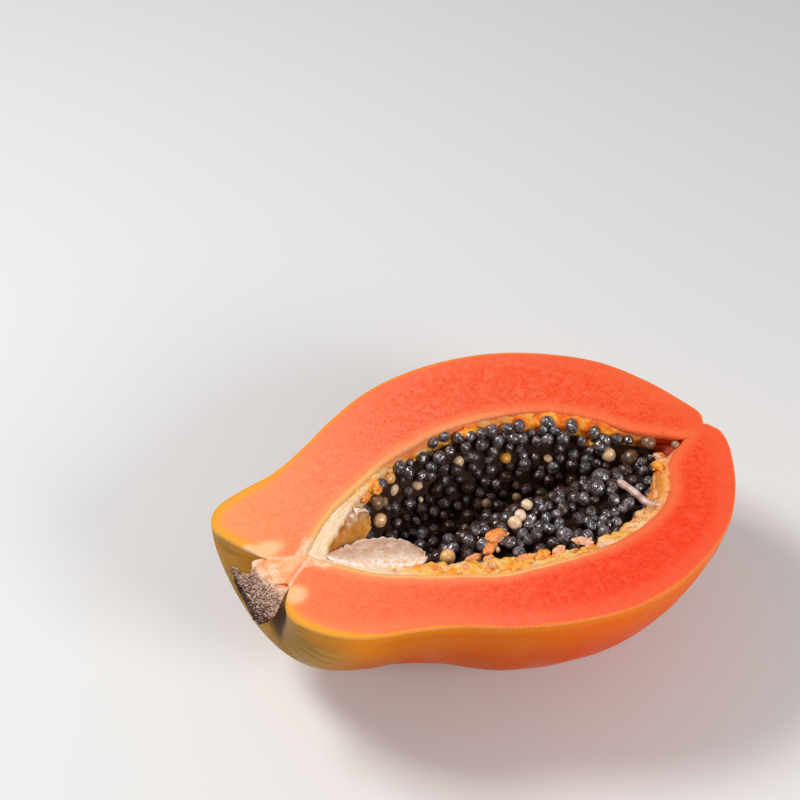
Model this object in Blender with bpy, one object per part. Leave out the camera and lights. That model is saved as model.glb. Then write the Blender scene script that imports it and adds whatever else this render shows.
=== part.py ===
"""Halved papaya, lying on its skin with the cut face up. Metres, +Z up.

The fruit is laid out in its own frame first: X runs along its axis from the stem end to the blossom end, Y
runs across the cut face and z = 0 is the cut face. One empty then lifts the whole part, so that the origin is
the bottom centre of its box.
"""
import math
import random

import bmesh
import bpy
import numpy as np
from mathutils import Euler, Matrix, Vector, noise

MM = 0.001

# The skin, in millimetres. Each station is a curve round the fruit, given by three of its points:
# far edge of the cut face (x, y), near edge of the cut face (x, y), lowest point (x, depth).
# The stations start at the rim of the stem's socket, pass over the shoulder and end at the blossom tip.
SKIN_STATIONS = [
    ((-79.0, 8.5), (-79.0, -8.5), (-77.0, 9.0)),
    ((-83.0, 14.0), (-81.3, -12.5), (-79.5, 14.0)),
    ((-87.5, 20.5), (-81.6, -16.5), (-83.0, 19.5)),
    ((-91.0, 29.0), (-79.8, -21.0), (-85.0, 27.0)),
    ((-86.5, 36.5), (-74.5, -27.5), (-82.5, 34.5)),
    ((-76.0, 40.3), (-67.0, -32.8), (-75.0, 39.5)),
    ((-63.0, 43.3), (-58.0, -36.3), (-62.5, 42.0)),
    ((-49.0, 50.0), (-48.0, -38.6), (-49.0, 45.0)),
    ((-35.0, 58.3), (-34.0, -43.2), (-34.5, 51.5)),
    ((-18.0, 65.8), (-18.0, -51.0), (-18.0, 60.0)),
    ((0.0, 69.0), (0.0, -57.0), (0.0, 64.0)),
    ((18.0, 68.3), (18.0, -60.0), (18.0, 63.8)),
    ((36.0, 63.8), (36.0, -58.3), (36.0, 60.0)),
    ((53.0, 55.0), (53.0, -52.0), (53.0, 51.5)),
    ((67.5, 43.3), (67.5, -43.0), (67.0, 40.0)),
    ((78.0, 27.5), (78.5, -30.0), (78.0, 26.0)),
    ((84.3, 13.0), (86.3, -15.0), (85.0, 12.5)),
    ((86.5, 6.0), (88.4, -6.0), (87.2, 5.5)),
    ((85.5, 2.0), (86.5, -1.0), (85.8, 2.0)),
    ((84.8, 0.6), (84.8, 0.6), (84.8, 0.0)),
]
CUT_SLOPE = 14.0   # degrees that the skin leans in below the cut at the blossom tip, from 0 at the belly
RIBS = 5           # faint lengthwise ribs round a whole fruit
RIB_RISE = 0.010   # height of a rib as a share of the radius
CUT_HEIGHT = 63.0   # height of the cut face: the belly is pressed flat 1 mm short of its lowest station
CENTRE = (-1.34, 4.58)  # middle of the part's box across X and Y, from the fruit's axis

# The seed cavity: (x, far edge, near edge, depth) from its stem tip to its blossom tip.
CAVITY_STATIONS = [
    (-61.0, 2.0, 2.0, 0.0), (-58.0, 8.0, -1.5, 9.0), (-52.0, 14.0, -5.0, 15.0),
    (-46.0, 19.0, -9.0, 19.5), (-40.0, 23.0, -13.0, 23.5), (-33.0, 27.0, -16.5, 27.0),
    (-27.0, 31.0, -19.5, 30.0), (-20.0, 34.0, -22.5, 32.5), (-10.0, 36.5, -26.5, 35.0),
    (0.0, 38.0, -30.5, 36.5), (10.0, 37.0, -33.0, 37.0), (20.0, 35.0, -33.5, 36.5),
    (30.0, 31.5, -32.7, 34.5), (40.0, 26.0, -30.2, 31.5), (48.0, 20.0, -27.0, 28.0),
    (55.0, 14.0, -22.5, 23.0), (60.0, 10.3, -16.5, 18.0), (63.5, 8.2, -9.8, 13.0),
    (68.5, 5.0, -5.8, 8.0), (73.0, 2.2, -4.0, 4.5), (77.0, -1.5, -1.5, 0.0),
]
LINING_BAND = 4.6   # depth of the knobbly lining under the cavity's edge
LINING_KNOB = 0.9   # how far its knobs stand out of the wall
LINING_LUMP = 2.2   # size of one knob

# The stalk: (x, radius, centre y). It is rooted in a socket and flares to a rough end.
STUB_STATIONS = [
    (-75.0, 6.2, 0.0), (-77.0, 6.5, 0.0), (-79.0, 6.5, 0.0), (-81.5, 6.3, -0.8), (-84.0, 7.2, -2.0),
    (-86.5, 9.2, -2.3), (-89.0, 11.2, -1.9), (-90.6, 11.8, -1.8),
]
STUB_RIDGES = 13    # woody ridges along the stalk
STUB_RIDGE_RISE = 0.06  # height of a ridge at the rough end, as a share of the radius
STUB_DISH = 1.2     # depth of the hollow in the rough end
SOCKET_GAP = 0.4    # between the stalk and its socket

# The seeds: true size, on a bed that follows the cavity's wall and is heaped along its near side.
SEED_RADII = (3.4, 3.0, 2.9)  # to a seed's corners
SEED_SPACING = 5.1  # least distance between the middles of two seeds, which press on each other
SEED_LIFT = 1.2     # height of a seed's middle over the bed
SEED_TRIES = 16000
BED = 3.6           # thickness of the bed on the wall
BED_GAP = 0.6       # between the bed and the wall
BED_EDGE = 5.4      # depth of the bed's edge under the cut face
BED_FAR = (-45.0, 66.0)    # x where the bed starts and ends along the far wall
BED_NEAR = (-29.0, 58.0)   # the same along the near wall
TROUGH = 27.0       # depth of the hollow between the heap and the far wall
SHELF = (13.0, 6.4)        # depth of the heap's top at the stem end and from the middle on
SHELF_X = (-34.0, 4.0)     # where the first gives way to the second
SHELF_EDGE = (-10.0, -5.0)  # y where the heap starts to fall away, at the same places
SHELF_FALL = 15.0   # width of that slope
HEAPS = [(14.0, -11.0, 2.0), (29.0, -20.0, 1.2), (41.0, -3.0, 2.1), (53.0, -11.0, 1.8)]  # x, y, rise
HEAP_WIDTH = 7.0


def clamp(value, low=0.0, high=1.0):
    return max(low, min(high, value))


def lerp(a, b, t):
    return a + (b - a) * t


def ease(t):
    """0 to 1 with a soft start and a soft end."""
    t = clamp(t)
    return t * t * (3 - 2 * t)


def curve_through(stations, count):
    """Reads a Catmull-Rom curve through the stations at count even steps."""
    points = np.array(stations, float)
    points = np.vstack([2 * points[0] - points[1], points, 2 * points[-1] - points[-2]])
    spans = len(points) - 3
    rows = []
    for step in np.linspace(0, spans, count):
        first = min(int(step), spans - 1)
        t = step - first
        a, b, c, d = points[first:first + 4]
        rows.append(0.5 * (2 * b + (c - a) * t + (2 * a - 5 * b + 4 * c - d) * t ** 2
                           + (3 * b - a - 3 * c + d) * t ** 3))
    return np.array(rows)


def material(name, colour, roughness, specular=0.5):
    made = bpy.data.materials.new(name)
    made.use_nodes = True
    shader = made.node_tree.nodes["Principled BSDF"]
    shader.inputs["Base Color"].default_value = (*colour, 1.0)
    shader.inputs["Roughness"].default_value = roughness
    shader.inputs["Specular IOR Level"].default_value = specular
    return made


def make_object(name, bm, materials):
    """Scales a mesh from millimetres to metres and makes it a smooth-shaded object."""
    bmesh.ops.transform(bm, matrix=Matrix.Scale(MM, 4), verts=bm.verts)
    mesh = bpy.data.meshes.new(name)
    bm.to_mesh(mesh)
    bm.free()
    for each in materials:
        mesh.materials.append(each)
    mesh.shade_smooth()
    mesh.set_sharp_from_angle(angle=math.radians(40))
    made = bpy.data.objects.new(name, mesh)
    bpy.context.collection.objects.link(made)
    return made


def bridge(bm, row, following):
    """Joins two rows of vertices with faces."""
    for a, b, c, d in zip(row, row[1:], following[1:], following):
        bm.faces.new((a, b, c, d))


def add_grid(bm, rows):
    """Adds a vertex for each point and joins the rows; returns the rows of vertices."""
    grid = [[bm.verts.new(point) for point in row] for row in rows]
    for row, following in zip(grid, grid[1:]):
        bridge(bm, row, following)
    return grid


def add_fan(bm, row, point):
    """Closes one end of a grid with triangles to a single vertex."""
    tip = bm.verts.new(point)
    for a, b in zip(row, row[1:]):
        bm.faces.new((a, b, tip))


def fill_and_turn_out(bm):
    """Closes flat openings and turns every face outwards."""
    bmesh.ops.holes_fill(bm, edges=[e for e in bm.edges if e.is_boundary])
    bmesh.ops.triangulate(bm, faces=[f for f in bm.faces if len(f.verts) > 4])
    bmesh.ops.recalc_face_normals(bm, faces=bm.faces)


def half_ring(x, radius, centre_y, columns):
    """Half circle under the cut face, from its far side to its near side."""
    angles = [math.pi * j / (columns - 1) for j in range(columns)]
    return [(x, centre_y + radius * math.cos(a), -radius * math.sin(a)) for a in angles]


def skin_row(station, along, columns):
    """One curve round the fruit, below the cut face. along is 0 at the stem end and 1 at the blossom end."""
    far_x, far_y, near_x, near_y, low_x, depth = station
    middle, half = (far_y + near_y) / 2, (far_y - near_y) / 2
    slope = math.radians(CUT_SLOPE) * clamp(2 * along - 1)
    row = []
    for j in range(columns):
        a = lerp(slope, math.pi - slope, j / (columns - 1))
        across = math.cos(a) / math.cos(slope)
        down = (math.sin(a) - math.sin(slope)) / (1 - math.sin(slope))
        rib = 1 + RIB_RISE * math.cos(RIBS * a) * down ** 2 * math.sin(math.pi * along)
        x = (far_x - near_x) / 2 * across + lerp(low_x, (far_x + near_x) / 2, across ** 2)
        row.append((x, middle + half * across * rib, -depth * down * rib))
    return row


def cavity_row(station, columns):
    """One section of the cavity, with points gathered near its edges, where the lining's knobs stand."""
    x, far, near, depth = station
    middle, half = (far + near) / 2, (far - near) / 2
    row = []
    for j in range(columns):
        a = math.pi / 2 * (1 - math.cos(math.pi * j / (columns - 1)))
        y, z = half * math.cos(a), -depth * math.sin(a)
        band = ease(-z / 1.0) * ease((LINING_BAND + z) / 1.2)
        lump = 0.5 + 0.5 * noise.noise(Vector((x, y, z)) / LINING_LUMP)
        inward = LINING_KNOB * band * clamp(lump * 1.6 - 0.3) * clamp(half / 8)
        row.append((x, middle + y * (1 - inward / max(half, 1.0)), z))
    return row


def fruit_half(skin, flesh):
    """Skin, flesh, cavity and the stalk's socket as one closed body."""
    bm = bmesh.new()
    columns = 25
    stations = curve_through([(*far, *near, *low) for far, near, low in SKIN_STATIONS], 49)
    outside = add_grid(bm, [skin_row(s, i / (len(stations) - 1), columns)
                            for i, s in enumerate(stations[:-1])])
    add_fan(bm, outside[-1], (*stations[-1][:2], 0.0))
    skin_faces = len(bm.faces)

    socket_radius = STUB_STATIONS[1][1] + SOCKET_GAP
    socket_end = STUB_STATIONS[0][0] + SOCKET_GAP
    socket_mouth = SKIN_STATIONS[0][0][0]
    socket = add_grid(bm, [half_ring(x, socket_radius, 0.0, columns) for x in (socket_end, socket_mouth)])
    add_fan(bm, socket[0], (socket_end, 0.0, 0.0))
    bridge(bm, socket[-1], outside[0])

    sections = curve_through(CAVITY_STATIONS, 51)
    inside = add_grid(bm, [cavity_row(s, 21) for s in sections[1:-1]])
    add_fan(bm, inside[0], (*sections[0][:2], 0.0))
    add_fan(bm, inside[-1], (*sections[-1][:2], 0.0))

    bmesh.ops.triangle_fill(bm, use_beauty=True, edges=[e for e in bm.edges if e.is_boundary])
    bm.faces.ensure_lookup_table()
    for face in bm.faces[skin_faces:]:
        face.material_index = 1

    everything = bm.verts[:] + bm.edges[:] + bm.faces[:]
    bmesh.ops.bisect_plane(bm, geom=everything, plane_co=(0, 0, -CUT_HEIGHT), plane_no=(0, 0, -1),
                           clear_outer=True)
    fill_and_turn_out(bm)
    return make_object("fruit_half", bm, [skin, flesh])


def stem_stub(wood):
    """Half of the woody stalk, flush with the cut face, with ridges that deepen towards its rough end."""
    bm = bmesh.new()
    columns = 27
    rows = []
    for x, radius, centre_y in curve_through(STUB_STATIONS, 13):
        flare = clamp((-x - 79.0) / 11.0)
        row = []
        for x0, y0, z0 in half_ring(x, radius, centre_y, columns):
            a = math.atan2(-z0, y0 - centre_y)
            rough = noise.noise(Vector((7.0, y0 * 0.6, z0 * 0.6)))
            grow = 1 + flare * (STUB_RIDGE_RISE * math.cos(STUB_RIDGES * a) + 0.05 * rough)
            end = -0.7 * rough * flare ** 3
            row.append((x0 + end, centre_y + (y0 - centre_y) * grow, z0 * grow))
        rows.append(row)
    grid = add_grid(bm, rows)
    inner_x, _, inner_y = STUB_STATIONS[0]
    outer_x, outer_radius, outer_y = STUB_STATIONS[-1]
    add_fan(bm, grid[0], (inner_x, inner_y, 0.0))
    dish = add_grid(bm, [half_ring(outer_x + STUB_DISH, 0.75 * outer_radius, outer_y, columns)])[0]
    bridge(bm, grid[-1], dish)
    add_fan(bm, dish, (outer_x + STUB_DISH, outer_y, 0.0))
    fill_and_turn_out(bm)
    return make_object("stem_stub", bm, [wood])


CAVITY = curve_through(CAVITY_STATIONS, 400)


def cavity_at(x):
    """Middle, half width and depth of the cavity at x."""
    far, near, depth = (np.interp(x, CAVITY[:, 0], CAVITY[:, k]) for k in (1, 2, 3))
    return (far + near) / 2, (far - near) / 2, depth


def heap_depth(x, y):
    """Depth of the heaped seeds under the cut face: a shelf along the near side that falls into a trough."""
    along = ease((x - SHELF_X[0]) / (SHELF_X[1] - SHELF_X[0]))
    shelf = lerp(*SHELF, along)
    fall = ease((y - lerp(*SHELF_EDGE, along)) / SHELF_FALL)
    rise = sum(h * math.exp(-((x - hx) ** 2 + (y - hy) ** 2) / HEAP_WIDTH ** 2) for hx, hy, h in HEAPS)
    return lerp(shelf, TROUGH, fall) - rise * (1 - fall)


def bed_point(t, u, top):
    """Point of the seeds' bed. t runs from stem to blossom, u from the far wall to the near wall."""
    x = lerp(lerp(BED_FAR[0], BED_NEAR[0], u), lerp(BED_FAR[1], BED_NEAR[1], u), t)
    middle, half, depth = cavity_at(x)
    edge = math.asin(clamp(BED_EDGE / (depth - BED), 0.0, 0.9))
    a = lerp(edge, math.pi - edge, u)
    if top:
        y = middle + (half - BED) * math.cos(a)
        return Vector((x, y, -min(heap_depth(x, y), (depth - BED) * math.sin(a))))
    return Vector((x, middle + (half - BED_GAP) * math.cos(a), -(depth - BED_GAP) * math.sin(a)))


def bed_normal(t, u):
    step = 0.01
    along = bed_point(min(t + step, 1), u, True) - bed_point(max(t - step, 0), u, True)
    across = bed_point(t, min(u + step, 1), True) - bed_point(t, max(u - step, 0), True)
    normal = across.cross(along).normalized()
    return normal if normal.z > 0 else -normal


def clear_of_wall(at):
    """True where a seed has room on all sides, also where the cavity closes in lengthwise."""
    room = SEED_RADII[0] + 0.5
    for turn in (-1.0, -0.7, 0.0, 0.7, 1.0):
        middle, half, depth = cavity_at(at.x + turn * room)
        margin = room * math.sqrt(1 - turn ** 2) + 0.3
        if half <= margin or math.hypot((at.y - middle) / (half - margin), at.z / (depth - margin)) > 1:
            return False
    return True


def seed_places():
    """Throws seeds at the bed and keeps those that are clear of the ones before."""
    draw = random.Random(7)
    places = []
    for _ in range(SEED_TRIES):
        t, u = draw.random(), draw.random()
        turn = Euler([draw.uniform(0, math.tau) for _ in range(3)])
        size = draw.uniform(0.93, 1.05)
        at = bed_point(t, u, True) + SEED_LIFT * bed_normal(t, u)
        if clear_of_wall(at) and all((at - other[0]).length > SEED_SPACING for other in places):
            places.append((at, turn, size))
    return places


def seed_object(at, turn, size):
    """One seed: an oval with 20 faces."""
    bm = bmesh.new()
    shape = Matrix.Diagonal((*(size * r for r in SEED_RADII), 1.0))
    place = Matrix.Translation(at) @ turn.to_matrix().to_4x4() @ shape
    bmesh.ops.create_icosphere(bm, subdivisions=1, radius=1.0, matrix=place)
    return make_object("seed", bm, [])


def seed_mass(black):
    """The bed and its seeds, joined into one body by one union."""
    bm = bmesh.new()
    rows, columns = 27, 15
    sheets = []
    for top in (True, False):
        points = [[bed_point(i / (rows - 1), j / (columns - 1), top) for j in range(columns)]
                  for i in range(rows)]
        sheets.append(add_grid(bm, points))
    borders = []
    for grid in sheets:
        border = grid[0] + [row[-1] for row in grid[1:]] + grid[-1][-2::-1] + [row[0] for row in grid[-2::-1]]
        borders.append(border)
    bridge(bm, *borders)
    bmesh.ops.recalc_face_normals(bm, faces=bm.faces)
    mass = make_object("seed_mass", bm, [black])

    seeds = bpy.data.collections.new("seeds")
    bpy.context.scene.collection.children.link(seeds)
    for place in seed_places():
        seed = seed_object(*place)
        seeds.objects.link(seed)
        bpy.context.collection.objects.unlink(seed)
    union = mass.modifiers.new("seeds", "BOOLEAN")
    union.operation = "UNION"
    union.operand_type = "COLLECTION"
    union.solver = "EXACT"
    union.collection = seeds
    graph = bpy.context.evaluated_depsgraph_get()
    joined = bpy.data.meshes.new_from_object(mass.evaluated_get(graph))
    mass.modifiers.clear()
    mass.data = joined
    for seed in list(seeds.objects):
        bpy.data.objects.remove(seed)
    bpy.data.collections.remove(seeds)
    return mass


def main():
    for existing in list(bpy.data.objects):
        bpy.data.objects.remove(existing)
    skin = material("papaya_skin", (0.80, 0.32, 0.03), 0.42)
    flesh = material("papaya_flesh", (0.90, 0.19, 0.07), 0.38)
    wood = material("stalk_wood", (0.45, 0.30, 0.20), 0.85, 0.2)
    black = material("seed_black", (0.015, 0.015, 0.018), 0.22)
    lift = bpy.data.objects.new("papaya", None)
    bpy.context.collection.objects.link(lift)
    lift.location = (-CENTRE[0] * MM, -CENTRE[1] * MM, CUT_HEIGHT * MM)
    for made in (fruit_half(skin, flesh), stem_stub(wood), seed_mass(black)):
        made.parent = lift


main()
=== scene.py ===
# %% [markdown]
# # A halved papaya
#
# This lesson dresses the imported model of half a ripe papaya. The half lies on its skin with the cut face up.
# Its skin, flesh, lining, seeds and stalk are made one after another, each as its own mesh with its own
# material. The frame says where the half lies and how big it is, and nothing here moves or resizes it.

# %% Load the frame and measure it
import math
import random

import bmesh
import bpy
import numpy as np
from mathutils import Matrix, Vector, kdtree, noise


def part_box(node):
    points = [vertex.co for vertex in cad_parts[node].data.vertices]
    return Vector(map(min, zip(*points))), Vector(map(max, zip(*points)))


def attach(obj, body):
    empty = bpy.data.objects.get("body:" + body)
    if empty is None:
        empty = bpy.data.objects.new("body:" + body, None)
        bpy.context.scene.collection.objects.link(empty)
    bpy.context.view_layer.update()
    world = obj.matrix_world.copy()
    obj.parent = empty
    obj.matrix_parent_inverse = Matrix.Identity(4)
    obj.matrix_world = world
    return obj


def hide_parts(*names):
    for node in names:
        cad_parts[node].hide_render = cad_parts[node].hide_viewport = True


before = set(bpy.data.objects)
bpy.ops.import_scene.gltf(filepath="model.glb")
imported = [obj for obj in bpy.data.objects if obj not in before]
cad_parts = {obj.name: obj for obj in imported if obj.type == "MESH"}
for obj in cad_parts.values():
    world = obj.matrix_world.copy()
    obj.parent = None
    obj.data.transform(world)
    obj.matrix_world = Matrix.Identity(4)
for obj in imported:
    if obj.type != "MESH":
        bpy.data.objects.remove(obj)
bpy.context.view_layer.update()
CUT_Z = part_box("fruit_half")[1].z
print("cut face at", round(CUT_Z * 1000, 1), "mm above the surface")

# %% [markdown]
# ## The fruit's own coordinates
#
# A fruit grows round an axis, so its shape is easiest to give along that axis. Every point below is in
# millimetres: X runs from the stem end to the blossom end, Y across the cut face, and Z is 0 on the cut face
# and negative below it. `place` turns such points into the frame's metres. The middle of the box is the same
# pair of numbers as in the solid model, so both lie in the same spot.

# %% From the fruit's millimetres to the frame's metres
MM = 0.001
CENTRE = (-1.34, 4.58)


def place(points):
    """Fruit millimetres to metres in the frame."""
    points = np.asarray(points, float).reshape(-1, 3)
    return (points - (*CENTRE, 0.0)) * MM + (0.0, 0.0, CUT_Z)


def clamp(value, low=0.0, high=1.0):
    return max(low, min(high, value))


def lerp(a, b, t):
    return a + (b - a) * t


def ease(t):
    """0 to 1 with a soft start and a soft end."""
    t = clamp(t)
    return t * t * (3 - 2 * t)


def bump(value, middle, width):
    """1 at the middle, falling smoothly to 0 at one width away."""
    return ease(1 - abs(value - middle) / width)


def curve_through(stations, count):
    """Reads a Catmull-Rom curve through the stations at count even steps."""
    points = np.array(stations, float)
    points = np.vstack([2 * points[0] - points[1], points, 2 * points[-1] - points[-2]])
    spans = len(points) - 3
    rows = []
    for step in np.linspace(0, spans, count):
        first = min(int(step), spans - 1)
        t = step - first
        a, b, c, d = points[first:first + 4]
        rows.append(0.5 * (2 * b + (c - a) * t + (2 * a - 5 * b + 4 * c - d) * t ** 2
                           + (3 * b - a - 3 * c + d) * t ** 3))
    return np.array(rows)


def rough(point, size, octaves=1):
    """Smooth noise from about -1 to 1 whose lumps are size millimetres across."""
    at = Vector(point) / size
    return sum(noise.noise(at * 2 ** k) / 2 ** k for k in range(octaves))


# %% [markdown]
# ## The camera
#
# The camera comes first, because a few loose bits in the cavity are placed where it sees them. It looks down
# on the cut face at 45 degrees with a 75 mm lens, from the near side and a little from the stem end. Its spot
# follows from where the middle of the picture falls on the cut face.

# %% Camera
PICTURE_MIDDLE = (-7.55, 58.19, 0.0)    # point of the cut plane in the middle of the picture
CAMERA_DISTANCE = 604.3
CAMERA_ELEVATION = math.radians(45.0)
CAMERA_AZIMUTH = math.radians(-25.1)
LENS = 75.0

towards_camera = Vector((math.sin(CAMERA_AZIMUTH) * math.cos(CAMERA_ELEVATION),
                         -math.cos(CAMERA_AZIMUTH) * math.cos(CAMERA_ELEVATION),
                         math.sin(CAMERA_ELEVATION)))
CAMERA_AT = Vector(PICTURE_MIDDLE) + CAMERA_DISTANCE * towards_camera
camera_data = bpy.data.cameras.new("camera")
camera_data.lens = LENS
camera_data.sensor_width = 36.0
camera = bpy.data.objects.new("camera", camera_data)
camera.location = place(CAMERA_AT)[0]
camera.rotation_euler = towards_camera.to_track_quat("Z", "Y").to_euler()
bpy.context.scene.collection.objects.link(camera)
bpy.context.scene.camera = camera
print("camera", [round(x, 3) for x in camera.location])

# %% [markdown]
# ## The shape of skin and cavity
#
# The skin is a loft: curves round the fruit at stations along it, each known by its far edge, its near edge
# and its lowest point. The cavity is a row of half ellipses. These are the solid model's own stations, and
# the first skin station only carries the skin on under the stalk.

# %% Stations
SKIN_STATIONS = [
    ((-77.0, 5.6), (-77.0, -5.6), (-75.5, 6.0)),
    ((-79.0, 8.5), (-79.0, -8.5), (-77.0, 9.0)),
    ((-83.0, 14.0), (-81.3, -12.5), (-79.5, 14.0)),
    ((-87.5, 20.5), (-81.6, -16.5), (-83.0, 19.5)),
    ((-91.0, 29.0), (-79.8, -21.0), (-85.0, 27.0)),
    ((-86.5, 36.5), (-74.5, -27.5), (-82.5, 34.5)),
    ((-76.0, 40.3), (-67.0, -32.8), (-75.0, 39.5)),
    ((-63.0, 43.3), (-58.0, -36.3), (-62.5, 42.0)),
    ((-49.0, 50.0), (-48.0, -38.6), (-49.0, 45.0)),
    ((-35.0, 58.3), (-34.0, -43.2), (-34.5, 51.5)),
    ((-18.0, 65.8), (-18.0, -51.0), (-18.0, 60.0)),
    ((0.0, 69.0), (0.0, -57.0), (0.0, 64.0)),
    ((18.0, 68.3), (18.0, -60.0), (18.0, 63.8)),
    ((36.0, 63.8), (36.0, -58.3), (36.0, 60.0)),
    ((53.0, 55.0), (53.0, -52.0), (53.0, 51.5)),
    ((67.5, 43.3), (67.5, -43.0), (67.0, 40.0)),
    ((78.0, 27.5), (78.5, -30.0), (78.0, 26.0)),
    ((84.3, 13.0), (86.3, -15.0), (85.0, 12.5)),
    ((86.5, 6.0), (88.4, -6.0), (87.2, 5.5)),
    ((85.5, 2.0), (86.5, -1.0), (85.8, 2.0)),
    ((84.8, 0.6), (84.8, 0.6), (84.8, 0.0)),
]
CUT_SLOPE = math.radians(14.0)
RIBS = 5
RIB_RISE = 0.010
CAVITY_STATIONS = [
    (-61.0, 2.0, 2.0, 0.0), (-58.0, 8.0, -1.5, 9.0), (-52.0, 14.0, -5.0, 15.0),
    (-46.0, 19.0, -9.0, 19.5), (-40.0, 23.0, -13.0, 23.5), (-33.0, 27.0, -16.5, 27.0),
    (-27.0, 31.0, -19.5, 30.0), (-20.0, 34.0, -22.5, 32.5), (-10.0, 36.5, -26.5, 35.0),
    (0.0, 38.0, -30.5, 36.5), (10.0, 37.0, -33.0, 37.0), (20.0, 35.0, -33.5, 36.5),
    (30.0, 31.5, -32.7, 34.5), (40.0, 26.0, -30.2, 31.5), (48.0, 20.0, -27.0, 28.0),
    (55.0, 14.0, -22.5, 23.0), (60.0, 10.3, -16.5, 18.0), (63.5, 8.2, -9.8, 13.0),
    (68.5, 5.0, -5.8, 8.0), (73.0, 2.2, -4.0, 4.5), (77.0, -1.5, -1.5, 0.0),
]
FLESH_EDGE_STATIONS = [  # x, far edge, near edge of the flesh round the lining
    (-67.5, 5.0, 5.0), (-65.5, 7.5, 2.0), (-62.0, 11.0, -1.5), (-56.6, 15.7, -6.4), (-48.9, 21.1, -13.0),
    (-37.0, 27.2, -19.4), (-24.0, 33.2, -25.2), (-12.0, 36.2, -30.3), (-3.0, 38.2, -32.0),
    (11.5, 38.0, -33.8), (21.6, 36.4, -34.6), (30.0, 34.3, -34.4), (38.6, 30.8, -33.0), (44.7, 26.6, -31.2),
    (50.5, 21.7, -28.6), (54.5, 17.4, -26.0), (58.7, 12.0, -21.8), (62.0, 8.8, -16.3), (64.5, 6.8, -11.2),
    (70.4, 2.8, -6.6), (75.0, -0.7, -4.0), (77.8, -2.5, -2.5),
]
CAVITY = curve_through(CAVITY_STATIONS, 400)
FLESH_ROWS = curve_through(FLESH_EDGE_STATIONS, 300)
SKIN_ROWS = curve_through([(*far, *near, *low) for far, near, low in SKIN_STATIONS], 221)
RIM = [Vector((row[0], row[1], 0.0)) for row in SKIN_ROWS] + [Vector((row[2], row[3], 0.0))
                                                            for row in SKIN_ROWS[::-1]]
FLESH_EDGE = [Vector((row[0], row[1], 0.0)) for row in FLESH_ROWS] + [Vector((row[0], row[2], 0.0))
                                                                     for row in FLESH_ROWS[::-1]]
CAVITY_EDGE = [Vector((row[0], row[1], 0.0)) for row in CAVITY] + [Vector((row[0], row[2], 0.0))
                                                                 for row in CAVITY[::-1]]


def cavity_at(x):
    """Middle, half width and depth of the cavity at x."""
    far, near, depth = (float(np.interp(x, CAVITY[:, 0], CAVITY[:, k])) for k in (1, 2, 3))
    return (far + near) / 2, (far - near) / 2, depth


def wall_depth(x, y):
    """Depth of the cavity's wall under a point of the cut face, 0 outside the cavity."""
    middle, half, depth = cavity_at(x)
    across = (y - middle) / max(half, 0.01)
    return depth * math.sqrt(max(0.0, 1 - across * across))


print("cut face outline", len(RIM), "points, flesh edge", len(FLESH_EDGE), "points")

# %% [markdown]
# ## Turning points into pieces
#
# Every piece is made the same way: a list of points, a list of faces, one material. Numbers that a material
# needs, such as how far a point is from the skin, go onto the mesh as named attributes. `carry` then puts
# the piece on the part's one body and hides the parts of the solid model that it replaces.

# %% Mesh helpers
def make_piece(name, points, faces, finish, values=None):
    """A smooth-shaded mesh object from fruit millimetres, with one named attribute for each set of values."""
    mesh = bpy.data.meshes.new(name)
    mesh.from_pydata([tuple(p) for p in place(points)], [], faces)
    mesh.materials.append(finish)
    mesh.shade_smooth()
    for key, numbers in (values or {}).items():
        layer = mesh.attributes.new(key, "FLOAT", "POINT")
        layer.data.foreach_set("value", np.asarray(numbers, np.float32).ravel())
    piece = bpy.data.objects.new(name, mesh)
    bpy.context.scene.collection.objects.link(piece)
    return piece


def carry(piece, slot, *nodes):
    """Puts a finished piece on the part's one body and hides the parts of the solid model that it replaces."""
    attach(piece, "root")
    if nodes:
        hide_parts(*nodes)
    print(piece.name, len(piece.data.polygons), "faces")
    return piece


def grid_faces(rows, columns, closed=False, flip=False):
    """Quads between the points of a grid, row by row; closed joins the last column to the first."""
    faces = []
    for i in range(rows - 1):
        for j in range(columns if closed else columns - 1):
            k = (j + 1) % columns
            quad = (i * columns + j, i * columns + k, (i + 1) * columns + k, (i + 1) * columns + j)
            faces.append(quad[::-1] if flip else quad)
    return faces


def thicken(piece, thickness):
    """Gives a sheet a wall behind its faces, with a crisp edge where the sheet ends."""
    mesh = piece.data
    used_by = np.zeros(len(mesh.loops), np.int32)
    mesh.loops.foreach_get("edge_index", used_by)
    crisp = mesh.attributes.new("sharp_edge", "BOOLEAN", "EDGE")
    crisp.data.foreach_set("value", np.bincount(used_by, minlength=len(mesh.edges)) == 1)
    wall = piece.modifiers.new("wall", "SOLIDIFY")
    wall.thickness = thickness * MM
    wall.offset = -1.0
    return piece


# %% [markdown]
# ## Small tools for materials
#
# Papaya is all gradients: from peach to red along the fruit, from yellow at the skin to coral inside. Each
# gradient is an attribute read through a colour ramp, and noise breaks it up. These helpers keep the node
# trees short. One node group, `moist grain`, makes the fine wet grain that flesh, lining and pulp share.

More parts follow.
